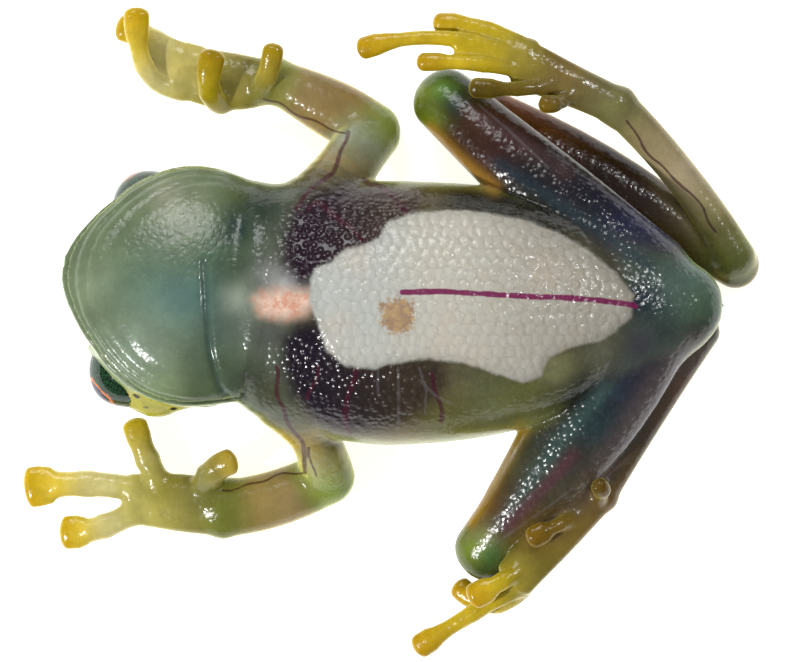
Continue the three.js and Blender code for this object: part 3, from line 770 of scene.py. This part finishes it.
def line_distance(points, line):
    nearest = np.full(len(points), 99.0)
    for a, b in zip(line[:-1], line[1:]):
        span = b - a
        share = np.clip((points - a) @ span / (span @ span), 0, 1)
        nearest = np.minimum(nearest, np.linalg.norm(points - a - share[:, None] * span, axis=1))
    return nearest


def along(colours, places):
    """The colour at each place, 0 to 1, along a row of colours."""
    steps = np.linspace(0, 1, len(colours))
    if len(colours) == 1:
        return np.repeat([colours[0]], len(places), axis=0)
    return np.stack([np.interp(places, steps, [c[k] for c in colours]) for k in range(3)], -1)


def tint(base, colour, share):
    return base + (np.asarray(colour) - base) * np.clip(share, 0, 1)[:, None]


def near(points, u, v, reach):
    """1 at a place seen from above, falling to 0 over a reach in millimetres."""
    return np.exp(-np.sum((points[:, :2] - spot(u, v)) ** 2, axis=1) / reach**2)


def pebbles(points, size, seed):
    """A cobbled height, 0 in the seams to 1 on each pebble, and one random number for each pebble."""
    rng = np.random.default_rng(seed)
    low, high = points.min(0) - size, points.max(0) + size
    counts = np.ceil((high - low) / size).astype(int)
    cells = np.stack(np.meshgrid(*(np.arange(c) for c in counts), indexing="ij"), -1).reshape(-1, 2)
    cells = cells + 0.5 * (cells[:, 1:] % 2) * [1, 0]
    seeds = low + (cells + rng.uniform(-0.28, 0.28, cells.shape)) * size
    tree = kdtree.KDTree(len(seeds))
    for i, place in enumerate(seeds):
        tree.insert((*place, 0), i)
    tree.balance()
    height = np.empty(len(points))
    chance = np.empty(len(points))
    own_chance = rng.random(len(seeds))
    for i, (x, y) in enumerate(points):
        (_, pebble, own_way), (_, _, next_way) = tree.find_n((x, y, 0), 2)
        height[i] = next_way - own_way
        chance[i] = own_chance[pebble]
    return np.clip(height / (0.75 * size), 0, 1), chance


def patch(base, points, patches, share):
    for u, v, reach, colour, strength in patches.values():
        base = tint(base, colour, share * strength * near(points, u, v, reach))
    return base


def part_distances(points):
    """How far each point is from each part's surface, and how far along the part it lies."""
    reach = {"torso": torso_distance(points), "head": head_distance(points)}
    place = {"torso": np.zeros(len(points)), "head": np.zeros(len(points))}
    for name in (*LIMBS, *DIGITS):
        reach[name], place[name] = tube_distance(points, limb_rings(name))
    return reach, place


def part_colours(reach, place):
    """The parts' own colours, which run into each other where parts meet."""
    closest = np.minimum.reduce(list(reach.values()))
    total = np.zeros(len(closest))
    base = np.zeros((len(closest), 3))
    for name, distance in reach.items():
        weight = np.exp(-((distance - closest) / COLOUR_BLEND) ** 2)
        colours = TONES.get(name) or (FINGER_TONES if name.startswith("finger") else TOE_TONES)
        base += weight[:, None] * along(colours, place[name])
        total += weight
    return base / total[:, None]


def find_zones(points, normals, reach):
    """How far each point belongs to each zone of the skin, 0 to 1."""
    def on(fade, names):
        return smooth_step(*fade, np.minimum.reduce([reach[name] for name in names]))

    up = normals[:, 2]
    belly = smooth_step(*BELLY_TURN, up)
    trunk = on(TRUNK_FADE, ["torso", "head"])
    thighs = on(THIGH_FADE, ["thigh_left", "thigh_right"])
    slim = [name for name in (*LIMBS, *DIGITS) if "thigh" not in name and "shank" not in name]
    return SimpleNamespace(
        belly=belly,
        trunk=trunk,
        body=trunk * belly,
        throat=trunk * belly * smooth_step(0.8, -0.6, reach["head"]),
        head=on(LIMB_FADE, ["head"]),
        thighs=thighs,
        shanks=on(LIMB_FADE, ["shank_left", "shank_right"]) * (1 - thighs),
        arms=on(LIMB_FADE, slim) * (1 - thighs),
        digits=on(DIGIT_FADE, DIGITS),
        # where the skin turns from level to upright, for the painted light on the edges
        edge_glow=smooth_step(*EDGE_TURN, up),
        lobes=[smooth_step(-0.8, 0.4, outline_depth(points[:, :2], lobe)) for lobe in (LIVER_TOP, LIVER_LOW)],
        heart=smooth_step(-0.4, 0.5, outline_depth(points[:, :2], HEART)),
    )


def paint_belly(base, points, zones, reach):
    """Throat, chest, flanks, rump and knees, the bands along the thighs, the liver and the heart."""
    x = points[:, 0]
    chest = zones.body * smooth_step(-3.6, -5.2, x) * smooth_step(-0.6, 0.8, reach["head"])
    base = tint(base, CHEST_GREY, chest)
    base = patch(base, points, THROAT, zones.throat)
    base = patch(base, points, CHEST, zones.body)
    base = patch(base, points, FLANKS, zones.body)
    base = tint(base, RUMP_GREEN, zones.body * smooth_step(9.6, 12.2, x))
    base = patch(base, points, RUMP, np.maximum(zones.body, zones.thighs * zones.belly))
    base = patch(base, points, KNEES, zones.thighs * zones.belly)
    for line, half_width, colour, strength in BANDS.values():
        share = np.exp(-((line_distance(points[:, :2], line) / half_width) ** 2))
        base = tint(base, colour, share * strength * zones.belly * (1 - zones.digits))
    rearward = smooth_step(-4.0, 1.2, x)[:, None]
    for lobe, (front, rear) in zip(zones.lobes, LIVER_TONES):
        base = tint(base, front * (1 - rearward) + rear * rearward, zones.body * lobe)
    return tint(base, HEART_PINK, zones.body * zones.heart)


def paint_edge_glow(base, zones):
    """Painted light on the thin edges: tinted and brightened as if light shone through them, and to make up
    for the little light that reaches them from above.
    """
    base = tint(base, EDGE_GLOW_ARM, zones.edge_glow * zones.arms * 0.5)
    base = tint(base, EDGE_GLOW_TRUNK, zones.edge_glow * zones.trunk * 0.5)
    base = tint(base, EDGE_GLOW_SHANK, zones.edge_glow * zones.shanks * 0.5)
    firm = np.maximum.reduce([zones.thighs, zones.digits, zones.head])
    return np.minimum(base * (1 + zones.edge_glow * (1.1 - 0.7 * firm))[:, None], BRIGHTEST)


def paint_back(base, points, normals, zones):
    """The green, yellow-freckled back and its edge up the sides, and how far each point belongs to it."""
    up = normals[:, 2]
    back = smooth_step(*BACK_TURN, up)
    base = tint(base, BACK_YELLOW * 0.6 + BACK_GREEN * 0.4, back * 0.85)
    base = tint(base, BACK_GREEN, smooth_step(*UNDER_TURN, up) * zones.trunk * 0.8)
    for side in SIDES:
        away = np.linalg.norm(points - beside(TEMPLE_SKIN, side), axis=1)
        temple = smooth_step(*TEMPLE_FADE, away) * smooth_step(0.0, -0.4, in_head(points)[:, 2])
        base = tint(base, TEMPLE_YELLOW, temple * 0.85)
        back = np.maximum(back, temple)
    strip = np.exp(-((line_distance(points[:, :2], YELLOW_STRIP) / STRIP_WIDTH) ** 2)) * zones.thighs
    base = tint(base, STRIP_YELLOW, strip * 0.8)
    return base, np.maximum(back, strip)


def marking_masks(points, normals, zones):
    """Millimetres inside or away from each marking, and how grainy the skin is."""
    flat = points[:, :2]
    on_body = zones.body > 0.02
    gut_depth = outline_depth(flat, GUT)
    cobbled = (gut_depth > -0.6) & on_body
    pebble = np.zeros(len(points))
    chance = np.zeros(len(points))
    pebble[cobbled], chance[cobbled] = pebbles(flat[cobbled], PEBBLE_SIZE, PEBBLE_SEED)
    wavy = flat + VESSEL_SWAY * np.sin(4.0 * flat[:, ::-1])
    vessels = VESSELS.values()
    vessel = np.minimum.reduce([line_distance(wavy, line) / half_width for half_width, line in vessels])
    pale_line = np.minimum.reduce([line_distance(flat, line) for line in PALE_LINES.values()])
    seen = normals[:, 2] > 0.1
    beaded_thighs = 0.8 * zones.thighs * (0.3 + 0.7 * smooth_step(3.0, 9.0, points[:, 0]))
    smooth_throat = 0.22 - 0.14 * zones.throat
    grainy_belly = 0.4 * zones.body * (1 - zones.throat)
    liver = [zones.body * lobe for lobe in zones.lobes]
    grain = np.maximum.reduce([smooth_throat, beaded_thighs, grainy_belly, *liver])
    return {
        "gut": np.where(on_body, gut_depth, -FAR),
        "pebble": pebble,
        "chance": chance,
        "vein": np.where(on_body, line_distance(flat, MAIN_VEIN), FAR),
        "vessel": np.where(seen, vessel, FAR),
        "pale_line": np.where(seen, pale_line, FAR),
        "yolk": np.where(on_body, outline_depth(flat, YOLK), -FAR),
        "heart": zones.body * zones.heart,
        "grain": grain * (0.15 + 0.85 * smooth_step(*GRAIN_TURN, normals[:, 2])),
        "rear": smooth_step(-3.0, 10.0, points[:, 0]),
    }


def paint(points, normals):
    """Base colours and marking masks for every point of the skin."""
    reach, place = part_distances(points)
    zones = find_zones(points, normals, reach)
    base = part_colours(reach, place)
    base = paint_belly(base, points, zones, reach)
    base = paint_edge_glow(base, zones)
    base, back = paint_back(base, points, normals, zones)
    masks = marking_masks(points, normals, zones)
    masks["back"] = back
    return base, masks


# Pieces
EYE_RINGS = 48
EYE_SIDES = 96
PUPIL_BULGE = 0.04


def add_object(name, data):
    thing = bpy.data.objects.new(name, data)
    bpy.context.scene.collection.objects.link(thing)
    return thing


def add_mesh(name, points, faces):
    mesh = bpy.data.meshes.new(name)
    mesh.from_pydata(points.tolist(), [], faces)
    mesh.validate()
    mesh.shade_smooth()
    return add_object(name, mesh)


def vertex_normals(mesh):
    normals = np.empty(len(mesh.vertices) * 3, np.float32)
    mesh.vertex_normals.foreach_get("vector", normals)
    return normals.reshape(-1, 3).astype(float)


def keep_mask(mesh, name, values):
    layer = mesh.attributes.new(name, "FLOAT", "POINT")
    layer.data.foreach_set("value", np.asarray(values, np.float32))


def keep_colour(mesh, name, colours):
    layer = mesh.attributes.new(name, "FLOAT_COLOR", "POINT")
    four = np.concatenate([colours, np.ones((len(colours), 1))], axis=1)
    layer.data.foreach_set("color", four.astype(np.float32).ravel())


def skin_lift(points, normals, masks):
    """How far the cobbled gut stands out, and the jaw's creases and the throat's fold lie in."""
    on_gut = smooth_step(-0.2, 0.3, masks["gut"])
    lift = on_gut * (PEBBLE_LIFT * np.sqrt(masks["pebble"]) + GUT_LIFT)
    back, _, up = in_head(points).T
    on_jaw = smooth_step(7.5, 5.5, back) * smooth_step(0.4, 0.1, np.abs(head_distance(points)))
    for height, depth in JAW_CREASES:
        lift -= depth * on_jaw * np.exp(-(((up - height) / CREASE_WIDTH) ** 2))
    fold = np.exp(-((line_distance(points[:, :2], THROAT_FOLD) / THROAT_FOLD_WIDTH) ** 2))
    return lift - THROAT_FOLD_DEPTH * (normals[:, 2] > 0.3) * fold


def make_skin(material):
    points, quads = shape_frog()
    skin = add_mesh("skin", (points - MIDDLE) * MM, quads.tolist())
    mesh = skin.data
    normals = vertex_normals(mesh)
    base, masks = paint(points, normals)
    raised = points + normals * skin_lift(points, normals, masks)[:, None]
    mesh.vertices.foreach_set("co", ((raised - MIDDLE) * MM).astype(np.float32).ravel())
    keep_colour(mesh, "tint", base)
    for name, values in masks.items():
        keep_mask(mesh, name, values)
    mesh.materials.append(material)
    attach(skin, "root")
    skin_nodes = ["head", "torso", *LIMBS, *DIGITS]
    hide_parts(*skin_nodes)


def eye_ball():
    """A ball of radius 1 with a slight bulge at its upper pole, the middle of the pupil."""
    polar = np.linspace(0, np.pi, EYE_RINGS + 1)[1:-1]
    turn = np.linspace(0, 2 * np.pi, EYE_SIDES, endpoint=False)
    bulge = 1 + PUPIL_BULGE * np.exp(-((polar / 0.6) ** 2))
    x = np.outer(np.sin(polar), np.cos(turn))
    y = np.outer(np.sin(polar), np.sin(turn))
    z = np.outer(np.cos(polar) * bulge, np.ones(EYE_SIDES))
    points = np.concatenate([[[0, 0, 1 + PUPIL_BULGE]], np.stack([x, y, z], -1).reshape(-1, 3), [[0, 0, -1]]])
    faces = []
    for i in range(EYE_RINGS - 2):
        for j in range(EYE_SIDES):
            a, b = 1 + i * EYE_SIDES + j, 1 + i * EYE_SIDES + (j + 1) % EYE_SIDES
            faces.append((a, a + EYE_SIDES, b + EYE_SIDES, b))
    last = len(points) - 1
    low_ring = last - EYE_SIDES
    for j in range(EYE_SIDES):
        after = (j + 1) % EYE_SIDES
        faces.append((0, 1 + j, 1 + after))
        faces.append((last, low_ring + after, low_ring + j))
    return points, faces


def make_eye(side, material):
    name = "left" if side > 0 else "right"
    unit, faces = eye_ball()
    look = Vector(eye_look(side))
    level = Vector(HEAD_BACK)
    across = look.cross(level).normalized()
    level = across.cross(look).normalized()
    turned = np.array([level, across, look]).T
    points = (unit * EYE_RADIUS) @ turned.T + beside(EYE_PLACE, side)
    eye = add_mesh("eye_dressed_" + name, (points - MIDDLE) * MM, faces)
    for axis, values in zip("xyz", unit.T):
        keep_mask(eye.data, "eye_" + axis, values)
    eye.data.materials.append(material)
    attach(eye, "root")
    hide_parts("eye_" + name)


# Materials
def ink(red, green, blue):
    """A colour for a shader, from the screen colour that it should show."""
    return (*[float(c) for c in tone(red, green, blue)], 1.0)


HEART_ORANGE = ink(226, 142, 104)
FRECKLE = ink(34, 40, 22)
VESSEL_PURPLE = ink(70, 14, 36)
PALE_GREY = ink(140, 136, 140)
GUT_FRONT = ink(200, 203, 196)
GUT_MIDDLE = ink(210, 205, 190)
GUT_REAR = ink(182, 175, 160)
GUT_BLUSH = ink(220, 198, 178)
GUT_PEBBLE = ink(212, 214, 208)
YOLK_BEAD = ink(192, 144, 60)
# darker ochre for the painted shade between the yolk's beads
YOLK_SEAM_SHADE = ink(160, 106, 34)
VEIN_MAGENTA = ink(128, 8, 84)
SPECK_BROWN = ink(40, 26, 16)
PUPIL_NAVY = ink(26, 24, 66)
RING_ORANGE = ink(226, 120, 40)
NET_DARK = ink(10, 22, 14)
NET_GREEN = ink(20, 96, 44)
EYE_YELLOW = ink(196, 186, 44)
EYE_DOT = ink(30, 44, 16)
FLOOR_SHADES = ((0.88, 0.88, 0.88, 1), (0.92, 0.92, 0.92, 1))
WHITE = (1, 1, 1, 1)

# Heights and depths for the shaders, in metres
BEAD_HEIGHT = 0.000045
LIGHT_DEPTH = 0.0005
DEPTH_BY_COLOUR = (1.0, 0.8, 0.45)

# Where the eye's rings change, from its middle outwards: 1 is the middle of the pupil
PUPIL_EDGE = (0.93, 0.9)
ORANGE_EDGE = (0.885, 0.85)
NET_EDGE = (0.44, 0.3)


class Nodes:
    """Short ways to add and wire shader nodes."""

    def __init__(self, tree):
        self.tree = tree

    def add(self, kind, inputs=None, **settings):
        node = self.tree.nodes.new(kind)
        for key, value in settings.items():
            setattr(node, key, value)
        for key, value in (inputs or {}).items():
            self.put(node.inputs[key], value)
        return node

    def put(self, socket, value):
        if isinstance(value, bpy.types.NodeSocket):
            self.tree.links.new(value, socket)
        else:
            socket.default_value = value

    def math(self, operation, a, b):
        return self.add("ShaderNodeMath", {0: a, 1: b}, operation=operation).outputs[0]

    def ramp(self, value, low, high, start=0.0, end=1.0):
        inputs = {"Value": value, "From Min": low, "From Max": high, "To Min": start, "To Max": end}
        return self.add("ShaderNodeMapRange", inputs, interpolation_type="SMOOTHSTEP").outputs[0]

    def mix(self, share, a, b, blend_type="MIX"):
        node = self.add("ShaderNodeMix", data_type="RGBA", blend_type=blend_type)
        self.put(node.inputs[0], share)
        self.put(node.inputs[6], a)
        self.put(node.inputs[7], b)
        return node.outputs[2]

    def times(self, a, b):
        return self.math("MULTIPLY", a, b)

    def plus(self, a, b):
        return self.math("ADD", a, b)

    def swing(self, noise, size):
        """Noise of 0 to 1 as a swing to both sides of zero."""
        return self.times(self.math("SUBTRACT", noise, 0.5), size)

    def darken(self, colour, shade):
        """A colour times a grey that may also be a little over 1."""
        grey = self.add("ShaderNodeCombineColor", {0: shade, 1: shade, 2: shade}).outputs[0]
        return self.mix(1.0, colour, grey, "MULTIPLY")

    def mask(self, name):
        return self.add("ShaderNodeAttribute", attribute_name=name).outputs["Fac"]

    def noise(self, vector, scale, detail=2.0, roughness=0.5):
        inputs = {"Vector": vector, "Scale": scale, "Detail": detail, "Roughness": roughness}
        return self.add("ShaderNodeTexNoise", inputs).outputs["Fac"]

    def cells(self, vector, scale, **settings):
        return self.add("ShaderNodeTexVoronoi", {"Vector": vector, "Scale": scale}, **settings)


def new_material(name):
    material = bpy.data.materials.new(name)
    material.use_nodes = True
    tree = material.node_tree
    tree.nodes.clear()
    nodes = Nodes(tree)
    shader = nodes.add("ShaderNodeBsdfPrincipled")
    output = nodes.add("ShaderNodeOutputMaterial")
    tree.links.new(shader.outputs[0], output.inputs[0])
    return material, nodes, shader


def add_cloud_and_bead_shade(nodes, colour, coarse, beads, grain):
    """Cloudy flesh under the skin, with painted shade between the beads of its surface and a little painted
    light on their tops.
    """
    cloud = nodes.ramp(coarse, 0.3, 0.7, 0.88, 1.12)
    # painted shade in the valleys between the skin's beads
    between = nodes.times(nodes.ramp(beads, 0.3, 0.7), grain)
    return nodes.darken(colour, nodes.times(cloud, nodes.ramp(between, 0, 1, 1.05, 0.8)))


def add_heart(nodes, colour, here):
    """The heart shows as orange grains."""
    mottle = nodes.times(nodes.mask("heart"), nodes.ramp(nodes.noise(here, 2600), 0.45, 0.62))
    return nodes.mix(nodes.times(mottle, 0.6), colour, HEART_ORANGE)


def add_freckles(nodes, colour, here):
    """The back's small dark freckles."""
    cells = nodes.cells(here, 1500.0).outputs["Distance"]
    freckle = nodes.times(nodes.ramp(cells, 0.34, 0.24), nodes.mask("back"))
    freckle = nodes.times(freckle, nodes.ramp(nodes.noise(here, 500, 1), 0.45, 0.55))
    return nodes.mix(freckle, colour, FRECKLE)


def add_vessels(nodes, colour, wander):
    """Vessels and pale lines under the skin."""
    vessel = nodes.ramp(nodes.plus(nodes.mask("vessel"), nodes.times(wander, 4.0)), 1.15, 0.55)
    colour = nodes.mix(nodes.times(vessel, 0.75), colour, VESSEL_PURPLE)
    pale = nodes.ramp(nodes.plus(nodes.mask("pale_line"), wander), 0.09, 0.03)
    return nodes.mix(nodes.times(pale, 0.22), colour, PALE_GREY)


def add_gut(nodes, colour, here, coarse):
    """The white, cobbled gut, bluish in front and greyer towards the vent, with painted shade in the seams
    between its cobbles and along its rim.
    """
    inside, rear = nodes.mask("gut"), nodes.mask("rear")
    gut = nodes.ramp(nodes.plus(inside, nodes.swing(coarse, 0.5)), -0.12, 0.12)
    white = nodes.mix(nodes.ramp(rear, 0.0, 0.35), GUT_FRONT, GUT_MIDDLE)
    white = nodes.mix(nodes.ramp(rear, 0.35, 1.0), white, GUT_REAR)
    blush = nodes.ramp(nodes.noise(here, 260), 0.5, 0.75, 0.0, 0.4)
    white = nodes.mix(blush, white, GUT_BLUSH)
    white = nodes.mix(nodes.times(nodes.mask("chance"), 0.25), white, GUT_PEBBLE)
    # Painted shade: darker in the seams between the cobbles, and near the gut's outline
    seam_shade = nodes.ramp(nodes.mask("pebble"), 0.0, 0.3, 0.88, 1.0)
    rim = nodes.ramp(inside, -0.1, 0.7, 0.82, 1.0)
    return nodes.mix(gut, colour, nodes.darken(white, nodes.times(seam_shade, rim)))


def add_yolk_and_vein(nodes, colour, fine, beads, wander):
    """The yolk-coloured patch, and the magenta vein along the belly."""
    yolk = nodes.ramp(nodes.plus(nodes.mask("yolk"), nodes.swing(fine, 1.2)), -0.1, 0.25)
    # Painted shade: the ochre is darker in the valleys between the skin's beads
    ochre = nodes.mix(nodes.ramp(beads, 0.3, 0.7), YOLK_BEAD, YOLK_SEAM_SHADE)
    colour = nodes.mix(nodes.times(yolk, 0.7), colour, ochre)
    vein = nodes.ramp(nodes.plus(nodes.mask("vein"), wander), 0.16, 0.09)
    return nodes.mix(nodes.times(vein, 0.95), colour, VEIN_MAGENTA)


def add_specks(nodes, colour, here):
    """Fine dark specks, on few of the cells."""
    specks = nodes.cells(here, 620.0)
    chosen = nodes.add("ShaderNodeSeparateColor", {0: specks.outputs["Color"]}).outputs[0]
    chosen = nodes.math("GREATER_THAN", chosen, 0.93)
    speck = nodes.times(nodes.ramp(specks.outputs["Distance"], 0.06, 0.035), chosen)
    return nodes.mix(speck, colour, SPECK_BROWN)


def skin_material():
    material, nodes, shader = new_material("wet_clear_skin")
    here = nodes.add("ShaderNodeTexCoord").outputs["Object"]
    colour = nodes.add("ShaderNodeAttribute", attribute_name="tint").outputs["Color"]
    coarse = nodes.noise(here, 800, 4, 0.6)
    fine = nodes.noise(here, 5200, 2, 0.6)
    beads = nodes.cells(here, 3400.0).outputs["Distance"]
    grain = nodes.mask("grain")
    wander = nodes.swing(nodes.noise(here, 1500), 0.14)
    colour = add_cloud_and_bead_shade(nodes, colour, coarse, beads, grain)
    colour = add_heart(nodes, colour, here)
    colour = add_freckles(nodes, colour, here)
    colour = add_vessels(nodes, colour, wander)
    colour = add_gut(nodes, colour, here, coarse)
    colour = add_yolk_and_vein(nodes, colour, fine, beads, wander)
    nodes.put(shader.inputs["Base Color"], add_specks(nodes, colour, here))

    height = nodes.plus(nodes.times(nodes.ramp(beads, 0.75, 0.1), grain), nodes.times(coarse, 0.9))
    height = nodes.plus(height, nodes.times(fine, 0.2))
    bump = nodes.add("ShaderNodeBump", {"Height": height, "Distance": BEAD_HEIGHT, "Strength": 1.0})
    nodes.put(shader.inputs["Normal"], bump.outputs[0])
    nodes.put(shader.inputs["Roughness"], nodes.ramp(fine, 0.3, 0.7, 0.14, 0.28))
    shader.inputs["Subsurface Weight"].default_value = 0.2
    shader.inputs["Subsurface Radius"].default_value = DEPTH_BY_COLOUR
    shader.inputs["Subsurface Scale"].default_value = LIGHT_DEPTH
    shader.inputs["IOR"].default_value = 1.4
    return material


def eye_material():
    """From the pupil outwards: navy, a thin orange ring, a dark green net, and yellow with dark dots."""
    material, nodes, shader = new_material("gold_netted_eye")
    x, y, z = (nodes.mask("eye_" + axis) for axis in "xyz")
    around = nodes.add("ShaderNodeCombineXYZ", {0: x, 1: y, 2: z}).outputs[0]
    across = nodes.plus(z, nodes.swing(nodes.noise(around, 5), 0.14))
    net = nodes.cells(around, 11.0, feature="DISTANCE_TO_EDGE").outputs["Distance"]
    dots = nodes.cells(around, 9.0).outputs["Distance"]
    yellow = nodes.mix(nodes.ramp(dots, 0.34, 0.24), EYE_YELLOW, EYE_DOT)
    green = nodes.mix(nodes.ramp(net, 0.1, 0.02), NET_DARK, NET_GREEN)
    colour = nodes.mix(nodes.ramp(across, *PUPIL_EDGE), PUPIL_NAVY, RING_ORANGE)
    colour = nodes.mix(nodes.ramp(across, *ORANGE_EDGE), colour, green)
    colour = nodes.mix(nodes.ramp(across, *NET_EDGE), colour, yellow)
    nodes.put(shader.inputs["Base Color"], colour)
    nodes.put(shader.inputs["Roughness"], nodes.ramp(net, 0.0, 0.2, 0.16, 0.08))
    return material


def floor_material():
    material, nodes, shader = new_material("pale_floor")
    here = nodes.add("ShaderNodeTexCoord").outputs["Object"]
    shade = nodes.ramp(nodes.noise(here, 30), 0.3, 0.7)
    nodes.put(shader.inputs["Base Color"], nodes.mix(shade, *FLOOR_SHADES))
    shader.inputs["Roughness"].default_value = 0.8
    shader.inputs["Emission Color"].default_value = WHITE
    shader.inputs["Emission Strength"].default_value = 0.82
    return material


# Scene
FLOOR_HALF = 1.2
CAMERA_HEIGHT = 0.6
HEIGHT_IN_FOCUS = 0.004
SENSOR_WIDTH = 36


def make_floor():
    half = FLOOR_HALF
    corners = [(-half, -half, 0), (half, -half, 0), (half, half, 0), (-half, half, 0)]
    mesh = bpy.data.meshes.new("floor")
    mesh.from_pydata(corners, [], [(0, 1, 2, 3)])
    mesh.materials.append(floor_material())
    floor = add_object("floor", mesh)


def add_light(name, place, size, power):
    light = bpy.data.lights.new(name, "AREA")
    light.shape = "DISK"
    light.size = size
    light.energy = power
    lamp = add_object(name, light)
    lamp.location = place
    lamp.rotation_euler = Vector(place).to_track_quat("Z", "Y").to_euler()


def light_scene():
    add_light("key", place=(-0.3, -0.15, 0.3), size=0.035, power=1.4)
    add_light("fill", place=(-0.1, 0.3, 0.26), size=0.16, power=0.5)
    add_light("side", place=(0.2, 0.16, 0.32), size=0.03, power=0.35)
    world = bpy.data.worlds.new("studio")
    world.use_nodes = True
    background = world.node_tree.nodes["Background"]
    background.inputs["Color"].default_value = WHITE
    background.inputs["Strength"].default_value = 0.3
    bpy.context.scene.world = world
    bpy.context.scene.view_settings.view_transform = "Standard"


def place_camera():
    """Straight above the frog, so that it shows as large as in the picture's frame."""
    camera = bpy.data.cameras.new("camera")
    camera.sensor_width = SENSOR_WIDTH
    camera.lens = SENSOR_WIDTH * (CAMERA_HEIGHT - HEIGHT_IN_FOCUS) / (PICTURE_SIZE[0] * PICTURE_STEP * MM)
    camera.clip_start = 0.01
    camera.clip_end = 10
    holder = add_object("camera", camera)
    x, y = (spot(PICTURE_SIZE[0] / 2, PICTURE_SIZE[1] / 2) - MIDDLE[:2]) * MM
    holder.location = (x, y, CAMERA_HEIGHT)
    bpy.context.scene.camera = holder


make_skin(skin_material())
shared_eye = eye_material()
for side in SIDES:
    make_eye(side, shared_eye)
make_floor()
light_scene()
place_camera()

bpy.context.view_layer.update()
